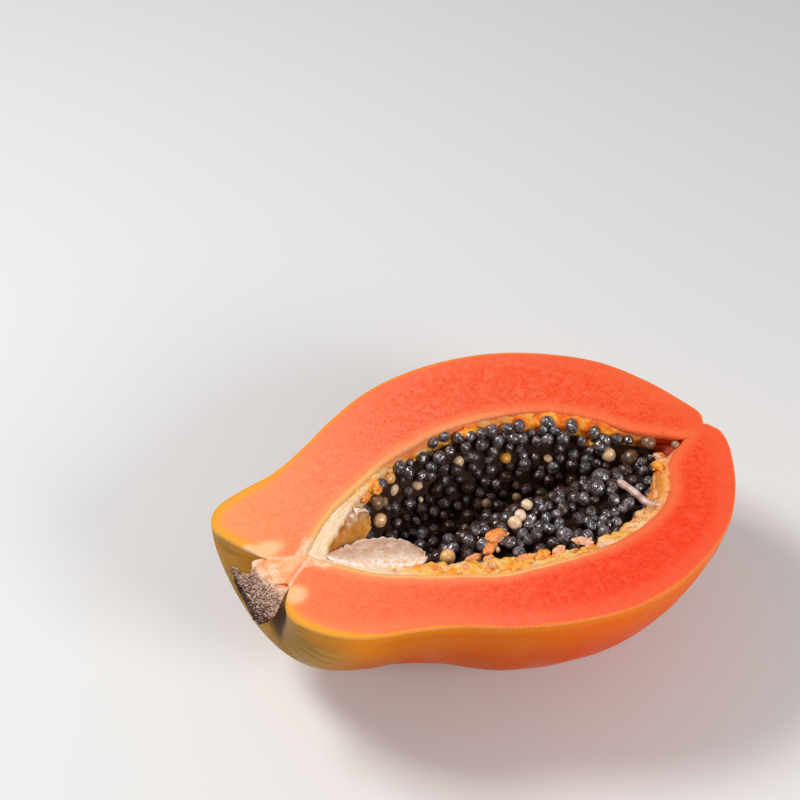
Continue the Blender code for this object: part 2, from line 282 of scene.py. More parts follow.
# %% Node helpers
class Finish:
    """A material under construction, with short calls for the nodes it is made of."""

    def __init__(self, name, **sockets):
        self.material = bpy.data.materials.new(name)
        self.material.use_nodes = True
        self.tree = self.material.node_tree
        self.shader = self.tree.nodes["Principled BSDF"]
        for key, value in sockets.items():
            self.shader.inputs[key.replace("_", " ")].default_value = value

    def node(self, kind, inputs=None, **settings):
        made = self.tree.nodes.new(kind)
        for key, value in settings.items():
            setattr(made, key, value)
        for key, value in (inputs or {}).items():
            self.feed(made.inputs[key], value)
        return made

    def feed(self, socket, value):
        if isinstance(value, bpy.types.NodeSocket):
            self.tree.links.new(value, socket)
        else:
            socket.default_value = value

    def value(self, name):
        return self.node("ShaderNodeAttribute", attribute_name=name).outputs["Fac"]

    def position(self):
        return self.node("ShaderNodeTexCoord").outputs["Object"]

    def noise(self, scale, detail=2.0, vector=None, roughness=0.5):
        return self.node("ShaderNodeTexNoise", {"Vector": vector or self.position(), "Scale": scale,
                                                "Detail": detail, "Roughness": roughness}).outputs["Fac"]

    def stretched(self, x, y, z):
        inputs = {"Vector": self.position(), "Scale": (x, y, z)}
        return self.node("ShaderNodeMapping", inputs).outputs["Vector"]

    def ramp(self, factor, *stops):
        made = self.node("ShaderNodeValToRGB", {"Fac": factor})
        elements = made.color_ramp.elements
        while len(elements) < len(stops):
            elements.new(0.5)
        for element, (at, colour) in zip(elements, stops):
            element.position = at
            element.color = (*colour, 1.0) if isinstance(colour, tuple) else (colour, colour, colour, 1.0)
        return made.outputs["Color"]

    def mask(self, factor, low, high):
        return self.node("ShaderNodeMapRange", {"Value": factor, "From Min": low, "From Max": high},
                         interpolation_type="SMOOTHSTEP").outputs["Result"]

    def math(self, operation, a, b):
        made = self.node("ShaderNodeMath", operation=operation)
        self.feed(made.inputs[0], a)
        self.feed(made.inputs[1], b)
        return made.outputs[0]

    def times(self, a, b):
        return self.math("MULTIPLY", a, b)

    def mix(self, factor, a, b, blend="MIX"):
        made = self.node("ShaderNodeMix", data_type="RGBA", blend_type=blend)
        for socket, value in ((made.inputs[0], factor), (made.inputs[6], a), (made.inputs[7], b)):
            self.feed(socket, (*value, 1.0) if isinstance(value, tuple) else value)
        return made.outputs[2]

    def bumps(self, *layers):
        """Chains bump nodes, each given as (height, strength, distance in metres)."""
        normal = None
        for height, strength, distance in layers:
            inputs = {"Height": height, "Strength": strength, "Distance": distance}
            if normal:
                inputs["Normal"] = normal
            normal = self.node("ShaderNodeBump", inputs).outputs["Normal"]
        self.feed(self.shader.inputs["Normal"], normal)

    def colour(self, socket):
        self.feed(self.shader.inputs["Base Color"], socket)

    def roughness(self, socket):
        self.feed(self.shader.inputs["Roughness"], socket)


def make_grain_group():
    """Fine wet grain: a mask of small cells, and the same cells as a height."""
    group = bpy.data.node_groups.new("moist grain", "ShaderNodeTree")
    group.interface.new_socket("Vector", in_out="INPUT", socket_type="NodeSocketVector")
    group.interface.new_socket("Cell Scale", in_out="INPUT", socket_type="NodeSocketFloat")
    group.interface.new_socket("Mask", in_out="OUTPUT", socket_type="NodeSocketFloat")
    group.interface.new_socket("Height", in_out="OUTPUT", socket_type="NodeSocketFloat")
    nodes, links = group.nodes, group.links
    source, result = nodes.new("NodeGroupInput"), nodes.new("NodeGroupOutput")
    cells = nodes.new("ShaderNodeTexVoronoi")
    cells.feature = "SMOOTH_F1"
    cells.inputs["Smoothness"].default_value = 0.6
    soft = nodes.new("ShaderNodeTexNoise")
    soft.inputs["Detail"].default_value = 3.0
    product = nodes.new("ShaderNodeMath")
    product.operation = "MULTIPLY"
    for texture in (cells, soft):
        links.new(source.outputs["Vector"], texture.inputs["Vector"])
        links.new(source.outputs["Cell Scale"], texture.inputs["Scale"])
    links.new(cells.outputs["Distance"], product.inputs[0])
    links.new(soft.outputs["Fac"], product.inputs[1])
    links.new(soft.outputs["Fac"], result.inputs["Mask"])
    links.new(product.outputs[0], result.inputs["Height"])
    return group


GRAIN = make_grain_group()


def add_grain(finish, scale, vector=None):
    made = finish.node("ShaderNodeGroup", node_tree=GRAIN)
    finish.feed(made.inputs["Vector"], vector or finish.position())
    made.inputs["Cell Scale"].default_value = scale
    return made.outputs["Mask"], made.outputs["Height"]


def add_fan(finish):
    """Peach flesh with whitish fibres that run lengthwise; stalk and flesh share it, so no seam shows."""
    fibre = finish.noise(240.0, 4.0, finish.stretched(0.35, 1.0, 1.0))
    return fibre, finish.mix(finish.mask(fibre, 0.42, 0.64), (0.95, 0.38, 0.14), (0.95, 0.56, 0.32))


print("node group", GRAIN.name, "is ready")

# %% [markdown]
# ## Skin
#
# A ripe papaya's skin is thin, waxy and deep orange. Near the stem it stays olive green, with pale streaks
# that run lengthwise. It could be painted, but an image would not follow the shape, so the colour comes from
# numbers on each point, such as how far along the fruit it is, how far round, and how deep below the cut.
# How deep below the cut also paints the lower skin darker, as painted shade.

# %% Skin material
skin = Finish("papaya skin", Roughness=0.4, Specular_IOR_Level=0.10, Subsurface_Weight=0.05,
              Subsurface_Radius=(0.6, 0.4, 0.2), Subsurface_Scale=0.0006)
along = skin.value("along")
streak_space = skin.node("ShaderNodeCombineXYZ", {"X": skin.times(along, 5.0),
                                                  "Y": skin.times(skin.value("round"), 15.0)})
streaks = skin.noise(1.6, 3.0, streak_space.outputs["Vector"])
broad = skin.noise(22.0, 3.0)
ripe = skin.ramp(along, (0.0, (0.98, 0.38, 0.004)), (0.20, (0.98, 0.34, 0.001)), (0.38, (0.62, 0.15, 0.0)),
                 (0.62, (0.74, 0.125, 0.0)), (0.80, (0.92, 0.16, 0.0)), (1.0, (0.98, 0.17, 0.001)))
ripe = skin.mix(skin.times(skin.mask(broad, 0.40, 0.72), 0.7), ripe, (0.86, 0.11, 0.0))
# Painted shade: the deeper a point lies below the cut, the darker red the skin is painted.
ripe = skin.mix(skin.times(skin.mask(skin.value("under"), 4.0, 22.0), 0.6), ripe,
                skin.ramp(along, (0.3, (0.34, 0.055, 0.0)), (0.6, (0.60, 0.038, 0.0)),
                          (0.9, (0.92, 0.12, 0.0))))
ripe = skin.mix(skin.times(skin.mask(skin.value("under"), 4.0, 0.0), 0.5), ripe, (0.88, 0.27, 0.004))
olive = skin.ramp(streaks, (0.25, (0.32, 0.17, 0.006)), (0.45, (0.40, 0.20, 0.02)),
                  (0.58, (0.50, 0.27, 0.04)),
                  (0.75, (0.44, 0.22, 0.03)))
olive = skin.mix(skin.mask(skin.noise(36.0, 2.0), 0.42, 0.62), olive, (0.46, 0.22, 0.03))
# Painted shade: the skin in the crease beside the stalk is painted near black.
olive = skin.mix(skin.mask(skin.value("crease"), 0.15, 1.0), olive, (0.10, 0.030, 0.003))
unripe = skin.times(skin.value("green"), skin.mask(skin.noise(30.0, 3.0), 0.20, 0.50))
colour = skin.mix(unripe, ripe, olive)
freckles = skin.mask(skin.noise(260.0, 2.0), 0.66, 0.74)
colour = skin.mix(skin.times(freckles, 0.3), colour, (0.45, 0.15, 0.01))
skin.colour(colour)
skin.roughness(skin.mask(skin.noise(90.0, 4.0), -0.6, 1.7))
skin.bumps((skin.noise(60.0, 3.0), 0.25, 0.0006), (skin.noise(900.0, 2.0), 0.12, 0.0001),
           (streaks, 0.2, 0.0004))

# %% [markdown]
# The mesh is the loft itself, read finely, with faint ribs and the soft dents of a grown fruit. It is a
# sheet, so a Solidify modifier gives it its thickness of under a millimetre, which shows as a fine line
# round the cut face. Where the half rests it is pressed flat on the surface.

# %% Skin mesh
SKIN_WALL = 0.7
SKIN_COLUMNS = 121


def skin_point(row, along, u):
    """Point of the skin; u runs from the far edge of the cut face, under the fruit, to the near edge."""
    far_x, far_y, near_x, near_y, low_x, depth = row
    middle, half = (far_y + near_y) / 2, (far_y - near_y) / 2
    slope = CUT_SLOPE * clamp(2 * along - 1)
    a = lerp(slope, math.pi - slope, u)
    across = math.cos(a) / math.cos(slope)
    down = (math.sin(a) - math.sin(slope)) / (1 - math.sin(slope))
    rib = 1 + RIB_RISE * math.cos(RIBS * a) * down ** 2 * math.sin(math.pi * along)
    x = (far_x - near_x) / 2 * across + lerp(low_x, (far_x + near_x) / 2, across ** 2)
    return Vector((x, middle + half * across * rib, -depth * down * rib))


def make_skin():
    points, values = [], {key: [] for key in ("along", "round", "under", "green", "crease")}
    count = len(SKIN_ROWS)
    for i, row in enumerate(SKIN_ROWS[:-1]):
        along = i / (count - 1)
        for j in range(SKIN_COLUMNS):
            u = j / (SKIN_COLUMNS - 1)
            p = skin_point(row, along, u)
            inside = ease(-p.z / 4) * ease((1 - along) / 0.03)
            dent = 0.30 * rough(p, 16, 2) + 0.12 * rough((p.x / 3, p.y, p.z), 3.5)
            outward = Vector((0.0, p.y - 4.0, p.z)).normalized()
            p += outward * dent * inside
            p.z = min(max(p.z, -CUT_Z / MM), -0.10)
            points.append(p)
            values["along"].append(along)
            values["round"].append(u)
            values["under"].append(-p.z)
            stem = clamp((-66 - p.x + 5 * rough(p, 14) + 6 * bump(p.z, -22, 26)) / 15)
            values["green"].append(stem)
            # crease: where the skin beside the stalk gets painted shade
            values["crease"].append(ease((-76 - p.x) / 4) * ease((12 - abs(p.y)) / 5) * ease((26 + p.z) / 10))
    tip = len(points)
    points.append(Vector((SKIN_ROWS[-1][0], SKIN_ROWS[-1][1], -0.10)))
    for key, number in (("along", 1.0), ("round", 0.5), ("under", 0.0), ("green", 0.0), ("crease", 0.0)):
        values[key].append(number)
    faces = grid_faces(count - 1, SKIN_COLUMNS, flip=True)
    last = (count - 2) * SKIN_COLUMNS
    faces += [(last + j, tip, last + j + 1) for j in range(SKIN_COLUMNS - 1)]
    return make_piece("skin", points, faces, skin.material, values)


skin_piece = thicken(make_skin(), SKIN_WALL)
carry(skin_piece, "skin", "fruit_half")

# %% [markdown]
# ## Flesh
#
# The cut face is a ring between the skin and the cavity. Rays from one middle point cross both outlines once,
# so the ring is a grid of rays and rounds. The flesh keeps on over the cavity's edge, under the lining, and
# over the root of the stalk. Each point knows how far it is from the skin and from the cavity, and where
# along the fruit it is, because the colour follows all three.

# %% Rays across the cut face
HUB = Vector((5.0, 3.0, 0.0))


def outline_by_angle(outline):
    """Angles and distances of an outline from the hub, sorted by angle."""
    polar = sorted((math.atan2(p.y - HUB.y, p.x - HUB.x), (p - HUB).length) for p in outline)
    angles, reach = np.array(polar).T
    angles = np.concatenate([angles - math.tau, angles, angles + math.tau])
    return angles, np.tile(reach, 3)


RIM_POLAR = outline_by_angle(RIM)
CAVITY_POLAR = outline_by_angle(CAVITY_EDGE)
FLESH_POLAR = outline_by_angle(FLESH_EDGE)


def even_rays(count):
    """Angles of rays whose ends move evenly along both outlines."""
    fine = np.linspace(0, math.tau, 6001)
    travel = np.zeros(len(fine))
    for angles, reach in (RIM_POLAR, FLESH_POLAR):
        radius = np.interp(fine, angles, reach)
        steps = np.hypot(np.diff(radius * np.cos(fine)), np.diff(radius * np.sin(fine)))
        travel[1:] += np.cumsum(steps)
    return np.interp(np.arange(count) / count * travel[-1], travel, fine).tolist()


def near_tree(outline):
    tree = kdtree.KDTree(len(outline))
    for i, p in enumerate(outline):
        tree.insert(p, i)
    tree.balance()
    return tree


RIM_TREE, FLESH_TREE = near_tree(RIM), near_tree(FLESH_EDGE)
print("hub at", tuple(HUB))

# %% [markdown]
# Flesh colour: peach at the stem end, coral in the middle, saturated red-orange at the blossom end. A band
# just inside the skin is lighter, the outermost millimetre or two is yellow-orange, and it turns greenish
# round the stem lobes. Next to the stalk are two pale patches, and a pale strand of fibres runs from the
# stalk to the cavity. The face is moist: a fine grain of cells under a thin gloss.

# %% Flesh material
flesh = Finish("papaya flesh", Roughness=0.42, Specular_IOR_Level=0.35, Coat_Weight=0.06, Coat_Roughness=0.25,
               Subsurface_Weight=0.12, Subsurface_Radius=(1.0, 0.5, 0.3), Subsurface_Scale=0.0009)
along = flesh.value("along")
from_skin, from_cavity = flesh.value("from_skin"), flesh.value("from_cavity")
base = flesh.ramp(along, (0.0, (0.98, 0.33, 0.12)), (0.16, (0.98, 0.29, 0.125)), (0.34, (0.97, 0.22, 0.09)),
                  (0.55, (0.97, 0.13, 0.042)), (0.80, (0.97, 0.10, 0.020)), (1.0, (0.97, 0.135, 0.026)))
grain_mask, grain_height = add_grain(flesh, 900.0)
wavy = flesh.noise(330.0, 4.0)
speckle = flesh.times(flesh.mask(grain_mask, 0.44, 0.64), flesh.mask(from_skin, 2.0, 12.0))
base = flesh.mix(flesh.times(speckle, flesh.ramp(along, (0.0, 0.22), (0.3, 0.45), (0.5, 0.8))), base,
                 flesh.ramp(along, (0.0, (0.93, 0.17, 0.06)), (0.4, (0.87, 0.085, 0.027)),
                            (1.0, (0.88, 0.03, 0.004))))
# Lighter salmon patches: partly the flesh's own colour, partly painted highlight on the moist face.
light = flesh.times(flesh.mask(wavy, 0.45, 0.66), flesh.ramp(along, (0.2, 0.35), (0.5, 0.45)))
base = flesh.mix(light, base, flesh.ramp(along, (0.0, (0.99, 0.38, 0.20)), (0.5, (0.99, 0.22, 0.12)),
                                         (1.0, (0.98, 0.15, 0.06))))
rays = flesh.node("ShaderNodeCombineXYZ", {"X": flesh.times(flesh.value("ray"), 1.1),
                                           "Y": flesh.times(from_skin, 0.16)}).outputs["Vector"]
radial = flesh.noise(1.0, 3.0, rays)
base = flesh.mix(flesh.times(flesh.mask(radial, 0.50, 0.68), 0.35), base,
                 flesh.ramp(along, (0.0, (0.99, 0.40, 0.20)), (0.5, (0.99, 0.27, 0.16)),
                            (1.0, (0.98, 0.14, 0.05))))
base = flesh.mix(1.0, base, flesh.ramp(flesh.value("side"), (0.0, (1.0, 0.54, 0.44)),
                                       (0.42, (1.0, 0.70, 0.60)),
                                       (0.75, (1.0, 0.94, 0.90))), "MULTIPLY")
under_skin = flesh.times(flesh.mask(from_skin, 9.0, 1.5), 0.5)
base = flesh.mix(under_skin, base, flesh.ramp(along, (0.0, (0.94, 0.34, 0.10)), (0.4, (0.95, 0.18, 0.08)),
                                              (1.0, (0.95, 0.12, 0.045))))
edge = flesh.mask(flesh.math("DIVIDE", from_skin, flesh.value("edge_width")), 1.0, 0.35)
base = flesh.mix(edge, base, flesh.ramp(along, (0.1, (0.95, 0.37, 0.03)), (0.4, (0.95, 0.26, 0.03)),
                                        (0.9, (0.95, 0.16, 0.03))))
base = flesh.mix(flesh.times(flesh.value("green"), flesh.mask(from_skin, 1.2, 0.3)), base,
                 (0.74, 0.34, 0.02))
base = flesh.mix(flesh.mask(from_skin, 0.45, 0.15), base, flesh.ramp(along, (0.0, (0.70, 0.32, 0.015)),
                                                                    (0.2, (0.93, 0.32, 0.012)),
                                                                    (0.9, (0.95, 0.20, 0.010))))
base = flesh.mix(flesh.times(flesh.mask(from_cavity, 5.0, 0.3), 0.65), base,
                 flesh.ramp(along, (0.2, (0.97, 0.36, 0.14)), (0.7, (0.97, 0.21, 0.07)),
                            (1.0, (0.97, 0.17, 0.05))))
line = flesh.times(flesh.mask(from_cavity, 1.1, 0.5), flesh.value("line"))
base = flesh.mix(line, base, (0.97, 0.47, 0.15))
base = flesh.mix(flesh.value("peach"), base, add_fan(flesh)[1])
base = flesh.mix(flesh.value("pale"), base, (0.93, 0.54, 0.26))
fibres = flesh.mask(flesh.noise(700.0, 3.0), 0.25, 0.60)
base = flesh.mix(flesh.times(flesh.value("strand"), fibres), base, (0.96, 0.60, 0.38))
flesh.colour(base)
flesh.roughness(flesh.mask(flesh.noise(400.0, 2.0), -0.2, 1.6))
flesh.bumps((wavy, 0.2, 0.0008), (radial, 0.25, 0.0006), (grain_height, 0.6, 0.0004),
            (flesh.noise(2600.0, 2.0), 0.3, 0.0001))

# %% [markdown]
# The pale strand and patches are drawn as paths and spots on the cut face. A point's distance to the nearest
# path gives its mask, so the same paths later carry real fibres.

# %% Pale paths on the cut face
STRAND_PATHS = [
    [(-81.4, 11.5), (-78.2, 8.7), (-74.5, 6.4), (-70.6, 5.6), (-67.2, 6.8), (-64.0, 9.5)],
    [(-79.6, -6.9), (-76.1, -4.4), (-73.4, -2.0), (-71.2, -0.2), (-68.9, 1.0), (-66.0, 2.2), (-62.5, -1.5)],
]
PALE_SPOTS = [(-78.5, 12.5, 6.0, 3.2), (-76.5, -9.2, 3.6, 3.4), (-83.5, 14.5, 3.0, 2.4)]


def distance_to_path(p, path):
    best = 99.0
    for (ax, ay), (bx, by) in zip(path, path[1:]):
        a, ab = Vector((ax, ay)), Vector((bx - ax, by - ay))
        t = clamp((Vector(p[:2]) - a).dot(ab) / ab.length_squared)
        best = min(best, (a + ab * t - Vector(p[:2])).length)
    return best


def strand_mask(p):
    if p[0] > -60:
        return 0.0
    width = 0.45 + 0.12 * rough(p, 5) + 1.5 * ease((p[0] + 72) / 7)
    return max(ease(1.5 - distance_to_path(p, path) / width) for path in STRAND_PATHS)


def pale_mask(p):
    return max(ease(1.5 - math.hypot((p[0] - x) / wide, (p[1] - y) / high))
               for x, y, wide, high in PALE_SPOTS)


def peach_mask(p):
    """Where the flesh runs into the stalk, between the two pale lines."""
    middle = lerp(2.6, 3.8, ease((p[0] + 80) / 12))
    return ease((-66 - p[0]) / 5) * ease(1.5 - abs(p[1] - middle) / lerp(7.6, 1.5, ease((p[0] + 80) / 11)))


def notch_mask(p):
    """The stretch of the cut face's edge that the stalk covers, where no skin shows."""
    return ease((p[1] + 6.2) / 1.2) * ease((10.6 - p[1]) / 1.4) * ease((-69 - p[0]) / 3)


# %% Flesh mesh
RAYS = 760
ROUNDS = 54      # across the cut face
LIP_ROUNDS = 5   # under the lining
OVER_STALK = 3.0
FLESH_WALL = 1.2


def face_relief(p, from_skin, from_cavity):
    """Height of the cut face: nearly flat, with slow waves and a soft edge on both sides."""
    wave = 0.16 * rough(p, 11, 2) + 0.07 * rough((p[0] * 0.6, p[1], 3.0), 2.4, 2)
    settle = ease(from_skin / 2.5) * ease(from_cavity / 2.0) * ease((p[0] + 77) / 9)
    return -0.02 - 0.04 * (1 - ease(from_skin / 0.4)) + wave * settle - 0.06 * (1 - ease(from_cavity / 0.5))


def make_flesh():
    angles = even_rays(RAYS)
    directions = [Vector((math.cos(angle), math.sin(angle), 0.0)) for angle in angles]
    rim = (np.interp(angles, *RIM_POLAR) - 0.04).tolist()
    rim_ends = [HUB + d * reach for d, reach in zip(directions, rim)]
    over_stalk = [OVER_STALK * ease((-74 - p.x) / 2) * ease((p.y + 4.0) / 3) * ease((8.8 - p.y) / 2)
                  for p in rim_ends]
    outer = [reach + more for reach, more in zip(rim, over_stalk)]
    inner = np.interp(angles, *FLESH_POLAR).tolist()
    points = []
    values = {key: [] for key in ("along", "from_skin", "from_cavity", "edge_width", "green", "pale",
                                  "strand", "peach", "side", "line", "ray")}
    ends = [HUB + d * reach for d, reach in zip(directions, outer)]
    trails = np.cumsum([0.0] + [(b - a).length for a, b in zip(ends, ends[1:])]).tolist()
    for i in range(ROUNDS + LIP_ROUNDS):
        for direction, edge, far, close, trail in zip(directions, rim, outer, inner, trails):
            if i < ROUNDS:
                w = i / (ROUNDS - 1)
                p = HUB + direction * lerp(far, close, w - 0.04 * math.sin(math.tau * w))
                from_skin, from_cavity = RIM_TREE.find(p)[2], FLESH_TREE.find(p)[2]
                beyond = max(0.0, (p - HUB).length - edge)
                p.z = face_relief(p, from_skin, from_cavity) - 0.9 * (beyond / OVER_STALK) ** 1.4
            else:
                k = (i - ROUNDS + 1) / LIP_ROUNDS
                at = HUB + direction * close
                p = HUB + direction * (close - k * lerp(1.4, -0.4, ease((at.y + 6) / 10)))
                from_skin, from_cavity = 20.0, 0.0
                p.z = face_relief(p, 20.0, 0.0) - 1.1 * math.sin(k * math.pi / 2)
            points.append(p)
            values["along"].append(clamp((p.x + 90) / 178))
            values["from_skin"].append(from_skin + 6 * notch_mask(p))
            values["from_cavity"].append(from_cavity)
            edge_width = 1.0 + 0.9 * ease(p.y / 20) + 3.0 * ease((-50 - p.x) / 26) + 0.4 * rough(p, 9)
            values["edge_width"].append(edge_width)
            values["green"].append(ease((-62 - p.x) / 16))
            values["pale"].append(pale_mask(p))
            values["strand"].append(strand_mask(p))
            values["peach"].append(peach_mask(p))
            values["side"].append(clamp((p.y + 45) / 90))
            values["ray"].append(trail)
            bright = ease((34 - p.x) / 30) * (0.35 + 0.65 * ease(-p.y / 12))
            values["line"].append(clamp(bright + ease((-24 - p.x) / 14)))
    faces = grid_faces(ROUNDS + LIP_ROUNDS, RAYS, closed=True, flip=True)
    return make_piece("flesh", points, faces, flesh.material, values)


flesh_piece = thicken(make_flesh(), FLESH_WALL)   # its faces point down, so the wall lies above them
carry(flesh_piece, "flesh", "fruit_half")

# %% [markdown]
# ## Lining
#
# Inside the flesh the cavity is lined with soft spongy tissue, orange-yellow and ragged, that the seeds hang
# from. It shows as a band on the cut face, hangs over the seeds in a torn lip, widest on the near side, and
# runs on down the wall. At the stem end it dries whitish over a tan, glossy pocket. Noise of three sizes
# pushes it in and out: lobes, lumps and crumbs.

# %% Lining material
lining = Finish("cavity lining", Roughness=0.55, Specular_IOR_Level=0.3, Coat_Weight=0.04, Coat_Roughness=0.3,
                Subsurface_Weight=0.1, Subsurface_Radius=(1.0, 0.6, 0.4), Subsurface_Scale=0.0006)
crumb = lining.value("crumb")
tone = lining.noise(260.0, 4.0)
along_band = lining.node("ShaderNodeCombineXYZ", {"X": lining.times(lining.value("trail"), 0.16),
                                                  "Y": lining.times(lining.value("band"), 1.5)})
layers = lining.noise(1.0, 3.0, along_band.outputs["Vector"])
across = lining.times(lining.math("ADD", lining.value("band"), lining.times(layers, 2.4)), 0.14)
spongy = lining.ramp(tone, (0.32, (0.93, 0.27, 0.018)), (0.44, (0.98, 0.44, 0.06)),
                     (0.56, (0.98, 0.56, 0.16)),
                     (0.66, (0.97, 0.64, 0.36)))
# Painted shade: the red band is painted darker in the dents and lighter on the lumps.
red = lining.ramp(lining.math("ADD", tone, lining.times(crumb, 0.12)), (0.36, (0.92, 0.10, 0.003)),
                  (0.50, (0.98, 0.22, 0.010)), (0.62, (0.99, 0.36, 0.03)), (0.72, (0.99, 0.48, 0.06)))
spongy = lining.mix(lining.value("red"), spongy, red)
layered = lining.ramp(across, (0.0, (0.96, 0.17, 0.04)), (0.20, (0.96, 0.29, 0.07)),
                      (0.30, (0.97, 0.48, 0.22)),
                      (0.38, (0.95, 0.28, 0.04)), (0.55, (0.96, 0.40, 0.13)), (0.66, (0.88, 0.30, 0.02)),
                      (0.85, (0.60, 0.19, 0.012)))
layered = lining.mix(lining.times(lining.mask(layers, 0.52, 0.62), 0.5), layered, (0.97, 0.50, 0.24))
spongy = lining.mix(lining.value("layered"), spongy, layered)
# Painted shade: dark red in the dents of the lumpy surface.
spongy = lining.mix(lining.mask(crumb, -0.1, -0.7), spongy, (0.62, 0.13, 0.012))
dry = lining.ramp(layers, (0.32, (0.94, 0.54, 0.26)), (0.44, (0.97, 0.66, 0.38)), (0.56, (0.98, 0.78, 0.58)),
                  (0.66, (0.97, 0.66, 0.44)))
dry = lining.mix(lining.mask(tone, 0.64, 0.72), dry, (0.70, 0.36, 0.14))
dry = lining.mix(lining.mask(lining.value("band"), 2.2, 0.8), dry, (0.97, 0.50, 0.17))
colour = lining.mix(lining.value("dry"), spongy, dry)
soft_edge = lining.math("SUBTRACT", 1.0, lining.mask(lining.value("band"), 0.2, 1.6))
colour = lining.mix(soft_edge, colour, (0.97, 0.23, 0.07))
rimmed = lining.times(lining.mask(lining.value("band"), 1.2, 0.5), lining.value("line"))
colour = lining.mix(rimmed, colour, (0.97, 0.50, 0.18))
tan = lining.ramp(lining.noise(180.0, 3.0), (0.35, (0.44, 0.12, 0.006)), (0.55, (0.70, 0.25, 0.02)),
                  (0.72, (0.80, 0.42, 0.16)))
colour = lining.mix(lining.value("tan"), colour, tan)
colour = lining.mix(lining.value("tail"), colour, (0.55, 0.035, 0.002))
# Painted shade: the lining is painted near black deeper down the cavity wall.
colour = lining.mix(lining.mask(lining.value("deep"), 5.0, 14.0), colour, (0.07, 0.016, 0.004))
lining.colour(colour)
grain_mask, grain_height = add_grain(lining, 1300.0)
lining.bumps((layers, lining.times(lining.value("dry"), 0.5), 0.0010),
             (lining.noise(900.0, 4.0), 0.6, 0.0004), (grain_height, 0.5, 0.0003),
             (lining.noise(2400.0, 2.0), 0.4, 0.0001))

# %% Lining mesh
LINING_RAYS = 800
BAND_ROUNDS, DROP_ROUNDS, WALL_ROUNDS = 22, 10, 16
WALL_TURN = 0.2   # how far down the wall, as an angle, the overhang ends
LINING_WALL = 0.6


def lip_width(p):
    """How far the lining hangs over the cavity at a point of its edge."""
    near = ease((-4 - p.y) / 14)
    right = ease((p.x - 52) / 8) * ease((4 - p.y) / 8)
    stem = ease((-42 - p.x) / 8) * ease((p.y - 4) / 5)
    width = 0.4 + 3.3 * near + 1.6 * right + stem * (0.8 + 1.1 * rough(p, 2.6, 2))
    ragged = 1 + 0.55 * rough(p, 6.0) + 0.35 * rough(p, 2.2)
    return width * ragged * ease((74 - p.x) / 14) * ease((p.x + 60) / 8)


def lip_sag(p):
    """How far the lining's inner edge hangs below the cut face."""
    return 1.5 + 2.2 * ease(p.y / 12) * ease((p.x + 30) / 20) + 2.0 * ease((p.x - 62) / 6)


def dry_mask(p):
    """Where the lining is whitish: the stem end, and a stretch near the blossom end on the near side."""
    stem = ease((-34 - p[0] + 5 * rough(p, 9)) / 14)
    near_end = bump(p[0], 42, 14) * ease((-18 - p[1]) / 6) * 0.25
    return clamp(max(stem, near_end) + 0.2 * rough(p, 5) * (p[0] < 30))


